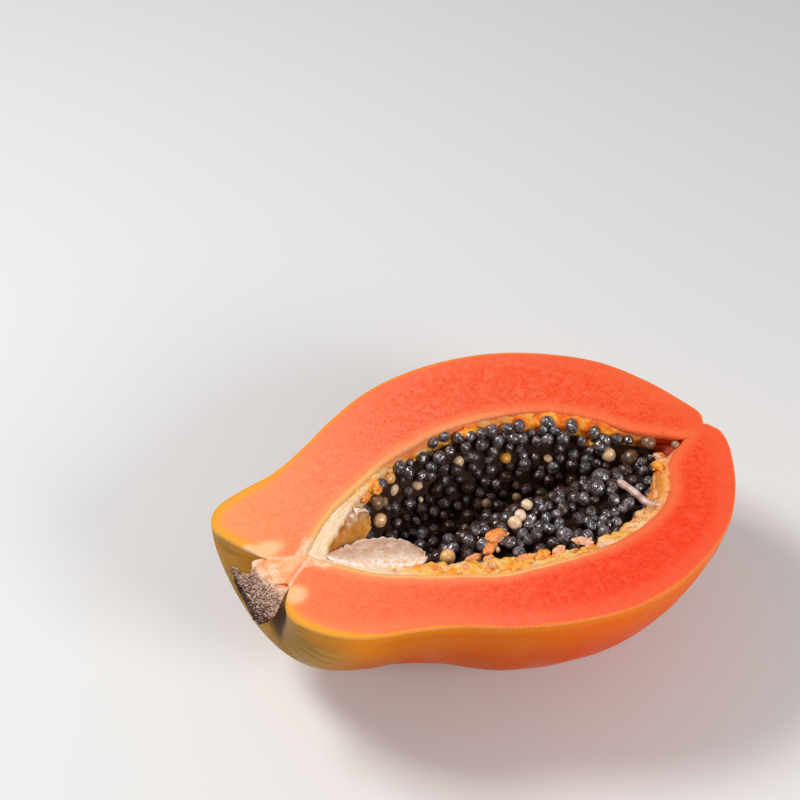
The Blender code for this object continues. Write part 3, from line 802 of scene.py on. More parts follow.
def make_lining():
    angles = even_rays(LINING_RAYS)
    edges = np.interp(angles, *FLESH_POLAR).tolist()
    inner = np.interp(angles, *CAVITY_POLAR).tolist()
    directions = [Vector((math.cos(angle), math.sin(angle), 0.0)) for angle in angles]
    lips = [lip_width(HUB + d * close) for d, close in zip(directions, inner)]
    points = []
    values = {key: [] for key in ("crumb", "dry", "deep", "tan", "band", "red", "trail", "line", "layered",
                                  "tail")}
    up = Vector((0, 0, 1))
    rim = [HUB + d * edge for d, edge in zip(directions, edges)]
    trails = np.cumsum([0.0] + [(b - a).length for a, b in zip(rim, rim[1:])]).tolist()
    for i in range(BAND_ROUNDS + DROP_ROUNDS + WALL_ROUNDS):
        for d, edge, close, lip, trail in zip(directions, edges, inner, lips, trails):
            lip_reach = min(close - lip, edge - 0.8)
            wall = HUB + d * close * math.cos(WALL_TURN)
            if i < BAND_ROUNDS:
                s = i / (BAND_ROUNDS - 1)
                reach = lerp(edge + 0.5, lip_reach, s)
                sag = lip_sag(HUB + d * reach)
                z = -0.25 * (1 - ease(s * (edge - lip_reach) / 0.35)) - 0.05 - sag * s ** 1.6
                facing, amount = up, ease(s * (edge - lip_reach) / 1.4)
                band = s * (edge - lip_reach)
            elif i < BAND_ROUNDS + DROP_ROUNDS:
                s = (i - BAND_ROUNDS + 1) / DROP_ROUNDS
                reach = lerp(lip_reach, close * math.cos(WALL_TURN), ease(s))
                sag = lip_sag(HUB + d * lip_reach)
                z = lerp(-0.08 - sag, -max(wall_depth(wall.x, wall.y), sag + 0.5), s)
                facing, amount = (up * (1 - s) - d).normalized(), 1.0
                band = 9.0
            else:
                s = (i - BAND_ROUNDS - DROP_ROUNDS + 1) / (WALL_ROUNDS + 1)
                turn = lerp(WALL_TURN, math.pi / 2, s)
                reach = close * math.cos(turn)
                at = HUB + d * reach
                z = -wall_depth(at.x, at.y)
                facing, amount = -d * math.cos(turn) + up * math.sin(turn), 1 - 0.7 * ease(s * 3)
                band = 9.0
            p = HUB + d * reach
            lumps, crumbs = rough((p.x, p.y, z + 9), 2.3, 2), rough((p.x, p.y, z - 7), 0.85, 2)
            lobes = rough((p.x, p.y, z), 6.0)
            p.z = z
            dryness = dry_mask(p)
            calm = 1 - 0.7 * max(dryness, ease((p.x - 44) / 8) * ease((2 - p.y) / 8))
            p += facing * amount * (0.4 * lobes + (0.42 * lumps + 0.30 * crumbs) * calm) * clamp(reach / 14)
            p.z = min(p.z, 0.35)
            points.append(p)
            stem = ease((-42 - p.x) / 6)
            values["crumb"].append(lumps + 0.5 * crumbs)
            values["dry"].append(dryness)
            values["deep"].append(max(0.0, -z))
            values["tan"].append(stem * ease((-z - 1.6) / 1.2))
            values["band"].append(band)
            values["red"].append(ease((p.x + 6) / 40) * ease((p.y - 2) / 6) * ease(band / 1.5))
            values["trail"].append(trail)
            values["line"].append(clamp(ease((30 - p.x) / 30) * ease(-p.y / 12) + ease((-24 - p.x) / 14)))
            values["layered"].append(ease((p.x - 40) / 10) * ease((2 - p.y) / 8))
            values["tail"].append(ease((p.x - 63) / 4) * ease((-z - 0.8) / 1.0))
    middle = len(points)
    points.append(HUB + Vector((0, 0, -wall_depth(HUB.x, HUB.y))))
    for key in values:
        values[key].append(30.0 if key == "deep" else 0.0)
    rows = BAND_ROUNDS + DROP_ROUNDS + WALL_ROUNDS
    faces = grid_faces(rows, LINING_RAYS, closed=True, flip=True)
    last = (rows - 1) * LINING_RAYS
    faces += [(last + (j + 1) % LINING_RAYS, last + j, middle) for j in range(LINING_RAYS)]
    return make_piece("cavity_lining", points, faces, lining.material, values)


lining_piece = thicken(make_lining(), LINING_WALL)   # its wall lies above its faces too
carry(lining_piece, "lining", "fruit_half")

# %% [markdown]
# ## The seeds' bed
#
# Seeds cover the far wall and lie heaped along the near side, with a hollow between. The bed is the surface
# they sit on, by the same rule as in the solid model. It is near black, partly the colour of the seeds under
# the top layer and partly painted shade, so that no gap between two seeds shows bright wall.

# %% The bed's rule
BED = 3.6
BED_EDGE = 5.4
BED_FAR, BED_NEAR = (-45.0, 66.0), (-29.0, 58.0)
TROUGH = 27.0
SHELF, SHELF_X, SHELF_EDGE, SHELF_FALL = (13.0, 6.4), (-34.0, 4.0), (-10.0, -5.0), 15.0
HEAPS = [(14.0, -11.0, 2.0), (29.0, -20.0, 1.2), (41.0, -3.0, 2.1), (53.0, -11.0, 1.8)]
HEAP_WIDTH = 7.0
BED_WALL = 1.5


def heap_depth(x, y):
    """Depth of the heaped seeds: a shelf along the near side that falls into a trough."""
    along = ease((x - SHELF_X[0]) / (SHELF_X[1] - SHELF_X[0]))
    shelf = lerp(*SHELF, along)
    fall = ease((y - lerp(*SHELF_EDGE, along)) / SHELF_FALL)
    rise = sum(h * math.exp(-((x - hx) ** 2 + (y - hy) ** 2) / HEAP_WIDTH ** 2) for hx, hy, h in HEAPS)
    return lerp(shelf, TROUGH, fall) - rise * (1 - fall)


def bed_point(t, u):
    """Point of the bed. t runs from stem to blossom, u from the far wall to the near wall."""
    x = lerp(lerp(BED_FAR[0], BED_NEAR[0], u), lerp(BED_FAR[1], BED_NEAR[1], u), t)
    middle, half, depth = cavity_at(x)
    edge = math.asin(clamp(BED_EDGE / (depth - BED), 0.0, 0.9))
    a = lerp(edge, math.pi - edge, u)
    y = middle + (half - BED) * math.cos(a)
    return Vector((x, y, -min(heap_depth(x, y), (depth - BED) * math.sin(a))))


def bed_normal(t, u):
    step = 0.01
    along = bed_point(min(t + step, 1), u) - bed_point(max(t - step, 0), u)
    across = bed_point(t, min(u + step, 1)) - bed_point(t, max(u - step, 0))
    normal = across.cross(along).normalized()
    return normal if normal.z > 0 else -normal


def surface_depth(x, y):
    """Depth of what lies in the cavity under a point of the cut face."""
    return min(heap_depth(x, y), max(0.0, wall_depth(x, y) - BED))


# %% Bed mesh
# Near black and brown: partly the colour of the seeds below, partly painted shade in the gaps between seeds.
dark = Finish("seed bed with painted shade", Roughness=0.6, Specular_IOR_Level=0.2)
dark.colour(dark.ramp(dark.noise(300.0, 3.0), (0.35, (0.014, 0.005, 0.003)), (0.65, (0.05, 0.018, 0.008))))
dark.bumps((dark.noise(350.0, 2.0), 0.6, 0.0015))


def make_bed():
    rows, columns = 90, 70
    points = []
    for i in range(rows):
        for j in range(columns):
            p = bed_point(i / (rows - 1), j / (columns - 1))
            points.append(p + Vector((0, 0, 0.5 * rough(p, 3.5, 2) - 0.6)))
    return make_piece("seed_bed", points, grid_faces(rows, columns), dark.material)


bed_piece = thicken(make_bed(), BED_WALL)
carry(bed_piece, "seed", "seed_mass")

# %% [markdown]
# ## Seeds
#
# Some 200 seeds are in view. One seed is an oval: a black wrinkled kernel in a clear jelly coat. In the
# material the wrinkles are bumps under a coat with softer bumps, which is how the real one is built. Geometry
# Nodes put a seed on each point of a cloud. Every point carries its own turn and size, and a tone that is
# painted light: lit seeds get greyer paint with painted highlights, and shaded ones are painted brown.

# %% Seed material
seed = Finish("black seed", Roughness=0.32, Specular_IOR_Level=0.6, Coat_Roughness=0.17, Coat_IOR=1.8,
              Sheen_Roughness=0.3, Sheen_Tint=(0.95, 0.74, 0.78, 1.0))
tone = seed.value("tone")
wrinkles = seed.node("ShaderNodeTexVoronoi", {"Vector": seed.position(), "Scale": 520.0, "Smoothness": 0.5},
                     feature="SMOOTH_F1").outputs["Distance"]
# The tone is painted light: a low tone paints the kernel brown-black as shade, a high tone greyer as lit.
kernel = seed.ramp(tone, (0.0, (0.046, 0.014, 0.005)), (0.3, (0.036, 0.014, 0.009)),
                   (0.65, (0.034, 0.020, 0.020)),
                   (1.0, (0.046, 0.030, 0.034)))
# Painted reflection: lighter grey patches on the lit seeds stand for the jelly coat's veil.
painted_grey_veil = seed.mask(seed.noise(520.0, 2.0), 0.48, 0.66)
kernel = seed.mix(seed.times(painted_grey_veil, seed.times(tone, 0.7)), kernel, (0.30, 0.22, 0.23))
# Painted highlights: white specks on the lit seeds.
kernel = seed.mix(seed.times(seed.mask(seed.noise(900.0, 3.0), 0.56, 0.66), seed.times(tone, 0.5)),
                  kernel, (0.50, 0.42, 0.45))
seed.colour(kernel)
# Sheen and coat grow with the same painted light level.
seed.feed(seed.shader.inputs["Sheen Weight"], seed.times(tone, 0.25))
seed.feed(seed.shader.inputs["Coat Weight"], seed.mask(tone, -0.05, 0.45))
lumps = seed.node("ShaderNodeBump", {"Height": wrinkles, "Strength": 0.8, "Distance": 0.0010}, invert=True)
fine = seed.node("ShaderNodeBump", {"Height": seed.noise(1500.0, 2.0), "Strength": 0.4, "Distance": 0.0003,
                                    "Normal": lumps.outputs["Normal"]})
seed.feed(seed.shader.inputs["Normal"], fine.outputs["Normal"])
jelly = seed.node("ShaderNodeBump", {"Height": seed.noise(420.0, 1.0), "Strength": 0.9, "Distance": 0.0012})
seed.feed(seed.shader.inputs["Coat Normal"], jelly.outputs["Normal"])

# %% [markdown]
# The first places repeat the solid model's draw, so the main seeds are where its seeds are. Further draws
# fill the gaps, hang a row of seeds under the far edge, and heap bunches onto the near side. The bunches are
# placed where the camera sees them: each line gives the spot on the cut face that hides a bunch, and the
# bunch slides along the line of sight until it lies on the bed.

# %% Down the line of sight
def on_bed(x, y, lift):
    """Where the line from the camera through a point of the cut face meets the bed, lifted a little."""
    at = Vector((x, y, 0.0))
    sight = (at - CAMERA_AT).normalized()
    while -at.z < surface_depth(at.x, at.y) - lift and at.z > -40:
        at += sight * 0.2
    return at


def at_depth(x, y, depth):
    """The point this deep on the line from the camera through a point of the cut face."""
    at = Vector((x, y, 0.0))
    sight = (at - CAMERA_AT).normalized()
    return at + sight * (depth / -sight.z)


# %% Places for seeds
SEED_RADII = (3.4, 3.0, 2.9)
SEED_SPACING, SEED_LIFT, SEED_TRIES = 5.1, 1.2, 16000
SMALL_SPACING, EDGE_SPACING, FAR_WALL_TRIES, UNDER_EDGE_TRIES = 3.8, 3.9, 9000, 5000
# Tone here is the painted light level: how lit each seed is painted, with painted highlights.
SHOWN_SEEDS = [  # spot on the cut face, radius, tone: the seeds that stand out
    (25.6, 28.5, 2.3, 0.8), (35.4, 25.7, 2.6, 0.9), (42.2, 19.7, 2.6, 0.8), (15.6, 30.3, 2.6, 0.8),
    (18.6, 25.7, 2.1, 0.8), (9.5, 25.8, 2.3, 0.7), (32.2, 23.0, 2.1, 0.6), (27.6, 23.3, 1.8, 0.5),
    (4.0, 22.1, 2.3, 0.6), (23.9, 22.8, 2.6, 0.9), (48.3, 14.1, 2.3, 0.5), (48.2, 7.2, 2.9, 0.7),
    (33.2, 12.9, 2.1, 0.8), (27.2, 17.5, 1.3, 0.6), (38.5, 13.2, 1.2, 0.6), (36.4, 8.2, 2.2, 0.9),
    (39.3, 3.7, 2.3, 0.8), (30.9, 8.1, 1.9, 0.8), (18.2, 10.9, 2.6, 1.0), (19.8, 15.1, 2.1, 0.7),
    (23.2, 12.6, 1.8, 0.5), (26.6, 5.2, 2.5, 0.9), (6.4, 13.8, 2.3, 0.6), (36.8, 0.4, 2.6, 0.6),
    (1.6, 14.2, 1.8, 0.6), (8.0, 18.8, 1.8, 0.5), (4.9, 6.6, 2.3, 0.4), (22.8, 7.0, 1.2, 0.5),
    (15.2, -23.7, 3.2, 0.9), (6.5, -14.6, 2.1, 0.8), (2.7, -17.0, 2.1, 0.8), (6.8, -18.9, 2.1, 0.8),
    (3.2, -19.7, 1.9, 0.7), (-11.2, -15.4, 2.6, 0.8), (-10.9, -9.8, 2.1, 0.6), (-8.2, -10.6, 2.1, 0.6),
    (-2.7, -18.6, 2.3, 0.9), (-4.4, -16.9, 1.8, 0.8), (-2.2, -23.7, 2.3, 1.0), (21.9, -26.8, 2.3, 0.8),
    (27.9, -27.9, 2.3, 0.8), (38.3, -16.8, 2.3, 0.8), (39.2, -13.0, 1.8, 0.6), (41.7, -20.2, 2.3, 0.8),
    (38.9, -21.4, 1.8, 0.6), (35.8, -9.6, 2.9, 1.0), (39.6, -5.3, 3.2, 0.8), (29.2, -11.7, 2.3, 0.8),
    (21.4, -8.9, 1.8, 0.7), (-4.7, -5.2, 2.3, 0.3), (-1.2, 35.0, 2.3, 0.9), (-6.1, 33.9, 2.2, 0.9),
    (-1.9, 28.5, 1.8, 0.8), (-12.5, 29.2, 2.2, 0.9), (-9.6, 28.7, 1.7, 0.7), (-7.1, 26.2, 2.2, 0.8),
    (-21.9, 28.2, 2.8, 0.9), (-17.7, 28.7, 1.7, 0.7), (-18.2, 25.6, 1.7, 0.6), (4.0, 28.3, 2.2, 0.8),
    (0.3, 26.6, 1.4, 0.6), (7.5, 25.8, 1.9, 0.7), (2.9, 22.9, 2.5, 0.8), (-10.9, 15.9, 2.2, 0.9),
    (-5.4, 14.6, 1.7, 0.6), (-23.6, 22.7, 1.7, 0.6), (-31.1, 12.4, 1.9, 0.6), (-33.4, 5.6, 1.9, 0.5),
    (-27.2, 3.5, 1.7, 0.4), (-7.8, 4.7, 1.7, 0.5), (-27.7, -2.6, 2.5, 0.6), (-33.4, -0.7, 1.7, 0.6),
    (49.5, 9.1, 2.6, 0.7), (42.8, 20.8, 2.3, 0.7), (54.0, 8.0, 2.2, 0.4),
]
BUNCHES = [  # spot on the cut face, radius of the bunch, seeds, radius of a seed
    (15.6, -14.7, 4.0, 17, 1.9), (12.6, -8.2, 2.3, 6, 1.7), (28.3, -21.5, 2.9, 10, 1.8),
    (33.9, -23.3, 2.7, 9, 1.7), (51.8, -14.9, 3.9, 15, 1.9), (-21.5, -11.5, 2.6, 5, 2.2),
    (-30.5, -8.5, 2.2, 3, 2.1), (-15.0, -12.0, 2.2, 4, 2.0), (45.5, -9.0, 2.0, 4, 1.9),
    (57.0, -7.5, 2.4, 5, 1.9),
]


def clear_of_wall(at):
    """True where a seed has room on all sides, also where the cavity closes in lengthwise."""
    room = SEED_RADII[0] + 0.5
    for turn in (-1.0, -0.7, 0.0, 0.7, 1.0):
        middle, half, depth = cavity_at(at.x + turn * room)
        margin = room * math.sqrt(1 - turn ** 2) + 0.3
        if half <= margin or math.hypot((at.y - middle) / (half - margin), at.z / (depth - margin)) > 1:
            return False
    return True


def far_from_all(at, places, spacing):
    return all((at - other[0]).length > spacing for other in places)


def turned(draw, most=math.tau):
    return [draw.uniform(0, most) for _ in range(3)]


def painted_light_level(at):
    """Painted light: seeds in the open get a high tone, painted grey and glossy, and deep ones a low tone,
    painted brown as shade.
    """
    open_air = ease((22 + at.z) / 14) * (0.25 + 0.75 * ease((at.y - 8) / 8))
    return clamp(0.55 * open_air + 0.20 * rough(at, 5.0) + 0.03)


def main_seeds():
    draw = random.Random(7)
    places = []
    for _ in range(SEED_TRIES):
        t, u = draw.random(), draw.random()
        turn = turned(draw)
        size = draw.uniform(0.93, 1.05)
        at = bed_point(t, u) + SEED_LIFT * bed_normal(t, u)
        if clear_of_wall(at) and far_from_all(at, places, SEED_SPACING):
            places.append((at, turn, size, painted_light_level(at)))
    return places


def shown_seeds():
    """Single seeds where the camera sees them, and bunches of small ones."""
    draw = random.Random(12)
    places = []
    for x, y, radius, tone in SHOWN_SEEDS:
        at = on_bed(x, y, radius + 1.4)
        if at.z > -radius - 0.2:
            at = at_depth(x, y, radius + 0.2)
        places.append((at, turned(draw), radius / 2.6, tone))
    for x, y, spread, count, radius in BUNCHES:
        heart = on_bed(x, y, spread + 0.8)
        for _ in range(count * 40):
            way = Vector((draw.gauss(0, 1), draw.gauss(0, 1), draw.gauss(0, 1))).normalized()
            at = heart + way * spread * (1.0 if count > 2 else 0.4)
            if count > 0 and at.z < -radius - 0.2 and far_from_all(at, places, 1.62 * radius):
                # Bunch seeds get a high tone, so they are painted as lit.
                places.append((at, turned(draw), radius / 2.6, draw.uniform(0.6, 1.0)))
                count -= 1
    return places


def fill_in(places):
    """Small seeds in the gaps of the far wall, up to right under the lining."""
    draw = random.Random(11)
    for _ in range(FAR_WALL_TRIES):
        t, u = draw.random(), draw.random() * 0.62
        at = bed_point(t, u) + draw.uniform(0.0, 2.0) * bed_normal(t, u)
        if at.z < -3.0 and far_from_all(at, places, SMALL_SPACING):
            places.append((at, turned(draw), draw.uniform(0.66, 0.92), painted_light_level(at)))
    for _ in range(UNDER_EDGE_TRIES):
        x, down = draw.uniform(-38, 66), draw.uniform(3.2, 9.0)
        middle, half, depth = cavity_at(x)
        if depth > down + 2:
            wall_y = middle + half * math.sqrt(1 - (down / depth) ** 2)
            at = Vector((x, wall_y - draw.uniform(2.2, 3.4), -down))
            if far_from_all(at, places, EDGE_SPACING):
                places.append((at, turned(draw), draw.uniform(0.7, 0.95), painted_light_level(at) + 0.1))


# %% Geometry Nodes tree that sets one shape on every point
def make_scatter_tree():
    """Points in, shapes out: each shape is turned and sized by its point's own values."""
    tree = bpy.data.node_groups.new("set shapes on points", "GeometryNodeTree")
    sockets = {}
    for name, kind in (("Geometry", "NodeSocketGeometry"), ("Shape", "NodeSocketObject"),
                       ("Material", "NodeSocketMaterial"), ("Overall Size", "NodeSocketFloat")):
        sockets[name] = tree.interface.new_socket(name, in_out="INPUT", socket_type=kind).identifier
    tree.interface.new_socket("Geometry", in_out="OUTPUT", socket_type="NodeSocketGeometry")
    nodes, links = tree.nodes, tree.links

    def add(kind, **settings):
        made = nodes.new(kind)
        for key, value in settings.items():
            setattr(made, key, value)
        return made

    source, result = add("NodeGroupInput"), add("NodeGroupOutput")
    shape = add("GeometryNodeObjectInfo", transform_space="ORIGINAL")
    turn = add("GeometryNodeInputNamedAttribute", data_type="FLOAT_VECTOR")
    turn.inputs["Name"].default_value = "turn"
    size = add("GeometryNodeInputNamedAttribute", data_type="FLOAT_VECTOR")
    size.inputs["Name"].default_value = "size"
    scaled = add("ShaderNodeVectorMath", operation="SCALE")
    to_points = add("GeometryNodeMeshToPoints")
    instances = add("GeometryNodeInstanceOnPoints")
    real = add("GeometryNodeRealizeInstances")
    coated = add("GeometryNodeSetMaterial")
    links.new(source.outputs["Geometry"], to_points.inputs["Mesh"])
    links.new(source.outputs["Shape"], shape.inputs["Object"])
    links.new(to_points.outputs["Points"], instances.inputs["Points"])
    links.new(shape.outputs["Geometry"], instances.inputs["Instance"])
    links.new(turn.outputs["Attribute"], instances.inputs["Rotation"])
    links.new(size.outputs["Attribute"], scaled.inputs[0])
    links.new(source.outputs["Overall Size"], scaled.inputs["Scale"])
    links.new(scaled.outputs["Vector"], instances.inputs["Scale"])
    links.new(instances.outputs["Instances"], real.inputs["Geometry"])
    links.new(real.outputs["Geometry"], coated.inputs["Geometry"])
    links.new(source.outputs["Material"], coated.inputs["Material"])
    links.new(coated.outputs["Geometry"], result.inputs["Geometry"])
    return tree, sockets


SCATTER, SCATTER_SOCKETS = make_scatter_tree()


def scatter(name, shape, finish, places, tones=None):
    """One plain mesh with the shape on each place (point, turn, sizes along the shape's axes)."""
    cloud = bpy.data.meshes.new(name + " points")
    cloud.from_pydata([tuple(p) for p in place([at for at, _, _ in places])], [], [])
    for key, numbers in (("turn", [t for _, t, _ in places]), ("size", [s for _, _, s in places])):
        layer = cloud.attributes.new(key, "FLOAT_VECTOR", "POINT")
        layer.data.foreach_set("vector", np.asarray(numbers, np.float32).ravel())
    layer = cloud.attributes.new("tone", "FLOAT", "POINT")
    draw = random.Random(len(places))
    layer.data.foreach_set("value", tones or [draw.random() for _ in places])
    holder = bpy.data.objects.new(name + " holder", cloud)
    bpy.context.scene.collection.objects.link(holder)
    modifier = holder.modifiers.new("scatter", "NODES")
    modifier.node_group = SCATTER
    modifier[SCATTER_SOCKETS["Shape"]] = shape
    modifier[SCATTER_SOCKETS["Material"]] = finish.material
    modifier[SCATTER_SOCKETS["Overall Size"]] = MM
    graph = bpy.context.evaluated_depsgraph_get()
    mesh = bpy.data.meshes.new_from_object(holder.evaluated_get(graph))
    mesh.name = name
    mesh.shade_smooth()
    bpy.data.objects.remove(holder)
    piece = bpy.data.objects.new(name, mesh)
    bpy.context.scene.collection.objects.link(piece)
    return piece


def template(name, bm):
    """A hidden shape for scattering, built at unit size."""
    mesh = bpy.data.meshes.new(name)
    bm.to_mesh(mesh)
    bm.free()
    mesh.shade_smooth()
    return bpy.data.objects.new(name, mesh)


def round_template(name, subdivisions, dent, dent_size, seed_number):
    """A ball of few faces with its corners pushed in and out."""
    bm = bmesh.new()
    bmesh.ops.create_icosphere(bm, subdivisions=subdivisions, radius=1.0)
    for vertex in bm.verts:
        vertex.co *= 1 + dent * noise.noise(vertex.co / dent_size + Vector((seed_number * 9.0, 0, 0)))
    return template(name, bm)


# %% [markdown]
# A few seeds never developed: they are cream, yellow or brown. They lie in the open, so the black seeds that
# would touch one or hide it from the camera make way before the black seeds are set out. Round the seeds that
# stand out, the seeds of the first draw make way too.

# %% Black seeds, making way for the pale ones
PALE_SEEDS = [  # spot on the cut face, radius, tone from cream to yellow and brown, height over the bed
    (-38.3, 9.1, 2.5, 0.40, 4.4), (-28.2, 19.9, 2.1, 0.05, 3.6), (-27.3, 25.0, 2.2, 0.55, 3.4),
    (-19.9, 18.1, 1.9, 0.15, 4.0), (-21.6, 11.6, 1.0, 0.0, 4.0), (-1.9, 22.1, 2.1, 0.2, 4.0),
    (-15.1, 26.2, 0.8, 0.0, 3.6), (13.6, 16.7, 2.2, 0.68, 4.0), (27.1, 9.9, 1.5, 0.25, 4.0),
    (47.2, 2.9, 2.8, 0.25, 3.4), (10.3, -5.8, 1.9, 0.05, 5.0), (-1.9, 0.3, 1.9, 0.88, 3.5),
    (8.7, -1.3, 1.5, 0.85, 3.5), (-24.5, -15.2, 2.8, 0.5, 4.4), (-35.9, 17.1, 3.0, 0.90, 3.4),
    (-33.4, 16.2, 1.7, 0.84, 3.8), (62.9, 1.6, 2.6, 0.93, 2.4), (53.2, -2.3, 3.3, 1.0, 3.2),
    (71.0, -3.5, 1.6, 0.84, 1.6), (2.7, -11.4, 2.3, 0.12, 4.4), (5.9, -9.4, 2.1, 0.0, 4.4),
]
# Tone here is the painted light level, as for the seeds that stand out.
TOUCHING_SEEDS = [  # spot on the cut face, radius, tone, height over the bed
    (46.6, 7.2, 2.9, 0.7, 5.5), (8.5, -12.4, 1.9, 0.9, 3.2),
]
CLEARINGS = [  # spot on the cut face, depth, radius: kept free of seeds
    (-46.0, 8.0, 5.0, 6.5), (45.0, -13.0, 2.2, 1.4), (46.5, -18.0, 2.2, 1.4), (44.0, -10.5, 2.2, 1.4),
]
CLEAR_GAP = 1.2


def make_way(places, guests, gap=1.8):
    """Leaves out the seeds that touch a guest or stand between it and the camera."""
    kept = []
    for place_of_seed in places:
        at = place_of_seed[0]
        free = True
        for guest, radius in guests:
            sight = (CAMERA_AT - guest).normalized()
            ahead = (at - guest).dot(sight)
            aside = (at - guest - sight * ahead).length
            room = radius + gap
            free = free and (at - guest).length > room and not (ahead > 0 and aside < room - 0.4)
        if free:
            kept.append(place_of_seed)
    return kept


pale_spots = [(on_bed(x, y, lift), r) for x, y, r, _, lift in PALE_SEEDS]
clear_spots = pale_spots + [(at_depth(x, y, depth), r) for x, y, depth, r in CLEARINGS]
shown_list = make_way(shown_seeds(), clear_spots, CLEAR_GAP)
seed_list = make_way(main_seeds(), [(at, 2.2 * size) for at, _, size, _ in shown_list]) + shown_list
print(len(seed_list), "main seeds and seeds that stand out")
fill_in(seed_list)
seed_list = make_way(seed_list, clear_spots, CLEAR_GAP)
seed_list += [(on_bed(x, y, lift), (1.0, 2.0, 0.5), r / 2.6, tone) for x, y, r, tone, lift in TOUCHING_SEEDS]
print(len(seed_list), "seeds with the small ones between")
seed_shape = round_template("one seed", 2, 0.10, 0.9, 3)
SEED_BODY = (2.85, 2.52, 2.46)
seed_places = [(at, turn, [size * r for r in SEED_BODY]) for at, turn, size, _ in seed_list]
seeds_piece = scatter("black_seeds", seed_shape, seed, seed_places, [clamp(tone) for *_, tone in seed_list])
carry(seeds_piece, "seed", "seed_mass")

# %% Pale seeds
pale_seed = Finish("pale seed", Roughness=0.35, Coat_Weight=0.6, Coat_Roughness=0.12, Subsurface_Weight=0.4,
                   Subsurface_Radius=(1.0, 0.6, 0.3), Subsurface_Scale=0.002)
pale_base = pale_seed.ramp(pale_seed.value("tone"), (0.0, (0.92, 0.66, 0.46)), (0.40, (0.95, 0.55, 0.26)),
                           (0.68, (0.95, 0.44, 0.04)), (0.84, (0.30, 0.18, 0.08)),
                           (1.0, (0.08, 0.035, 0.016)))
pale_seed.colour(pale_seed.mix(pale_seed.times(pale_seed.mask(pale_seed.noise(700.0, 3.0), 0.4, 0.7), 0.5),
                               pale_base, (0.50, 0.24, 0.09)))
pale_seed.bumps((pale_seed.noise(900.0, 2.0), 0.4, 0.0004))
draw = random.Random(21)
pale_places = [(at, turned(draw, 6), (1.1 * r, r, 0.95 * r)) for at, r in pale_spots]
pale_shape = round_template("one pale seed", 3, 0.12, 0.9, 5)
pale_piece = scatter("pale_seeds", pale_shape, pale_seed, pale_places, [row[3] for row in PALE_SEEDS])
carry(pale_piece, "pale_seed")

# %% [markdown]
# Orange pulp clings to the edges in torn lumps with crumbs round them. A lump is a ball pushed in and out by
# noise of two sizes, so no two are alike. Crumbs and thin slices of pulp are small shapes set on points: the
# crumbs lie round the lumps and along the near edge, and the slices stand in the near corner.

# %% Pulp material
pulp = Finish("orange pulp", Roughness=0.45, Coat_Weight=0.15, Coat_Roughness=0.2, Subsurface_Weight=0.2,
              Subsurface_Radius=(1.0, 0.5, 0.2), Subsurface_Scale=0.001)
pulp_tone = pulp.ramp(pulp.value("tone"), (0.0, (0.97, 0.42, 0.02)), (0.4, (0.95, 0.36, 0.08)),
                      (0.75, (0.94, 0.48, 0.22)), (1.0, (0.90, 0.62, 0.48)))
pulp_deep = pulp.ramp(pulp.value("tone"), (0.0, (0.85, 0.16, 0.01)), (0.75, (0.85, 0.28, 0.07)),
                      (1.0, (0.75, 0.42, 0.28)))
pulp.colour(pulp.mix(pulp.mask(pulp.noise(900.0, 3.0), 0.46, 0.62), pulp_tone, pulp_deep))
pulp.bumps((pulp.noise(1100.0, 3.0), 0.6, 0.0005), (pulp.noise(2600.0, 2.0), 0.4, 0.0002))

# %% Pulp lumps
LUMPS = [  # spot on the cut face, half sizes, height over the bed, tone
    (-5.5, -14.0, 4.2, 2.4, 2.0, 4.6, 0.35), (-10.0, -17.5, 3.0, 1.8, 1.6, 4.0, 0.45),
    (-17.0, -19.5, 3.0, 1.8, 1.6, 4.6, 0.6), (-12.5, -22.0, 2.2, 1.6, 1.4, 4.6, 0.7),
    (43.8, 9.3, 2.3, 1.7, 1.8, 5.0, 0.0), (60.0, -9.4, 2.2, 1.7, 1.6, 5.4, 0.0),
    (62.6, -6.0, 2.4, 1.2, 1.0, 5.0, 0.9), (-33.0, 23.6, 3.0, 2.2, 1.6, 4.4, 0.05),
    (-38.5, 20.4, 2.4, 1.6, 1.2, 3.4, 0.3), (7.0, 33.5, 4.4, 2.2, 1.5, 4.2, 0.05),
    (-2.0, -27.0, 5.4, 1.9, 1.5, 5.2, 0.5), (4.0, -28.0, 3.2, 1.9, 1.4, 5.2, 0.15),
    (10.0, -28.6, 3.0, 1.7, 1.3, 5.2, 0.8), (19.5, -28.2, 3.4, 1.4, 1.2, 5.0, 0.9),
    (52.5, -20.5, 2.4, 1.2, 1.0, 5.0, 0.7),
]


def make_lumps():
    bm = bmesh.new()
    tones = []
    for number, (x, y, wide, deep, high, lift, tone) in enumerate(LUMPS):
        at = on_bed(x, y, lift)
        ball = bmesh.ops.create_icosphere(bm, subdivisions=4, radius=1.0)["verts"]
        spin = Matrix.Rotation(noise.noise(Vector((number * 3.1, 0, 0))) * 3, 3, "Z")
        for vertex in ball:
            fine = lerp(0.28, 0.10, ease(tone / 0.4))
            shape = 1 + 0.30 * rough(vertex.co + Vector((number * 7.0, 0, 0)), 0.8) \
                + fine * rough(vertex.co * wide + Vector((number * 5.0, 0, 0)), 0.8, 3)
            q = spin @ (vertex.co * Vector((wide, deep, high)) * shape)
            vertex.co = at + q
            tones.append(tone)
    bm.verts.index_update()
    points = [vertex.co.copy() for vertex in bm.verts]
    faces = [[vertex.index for vertex in face.verts] for face in bm.faces]
    bm.free()
    return make_piece("pulp_lumps", points, faces, pulp.material, {"tone": tones})


carry(make_lumps(), "lining")

# %% Crumbs and slices
CRUMBS_PER_LUMP, EDGE_CRUMBS, SLICES = 6, 420, 150


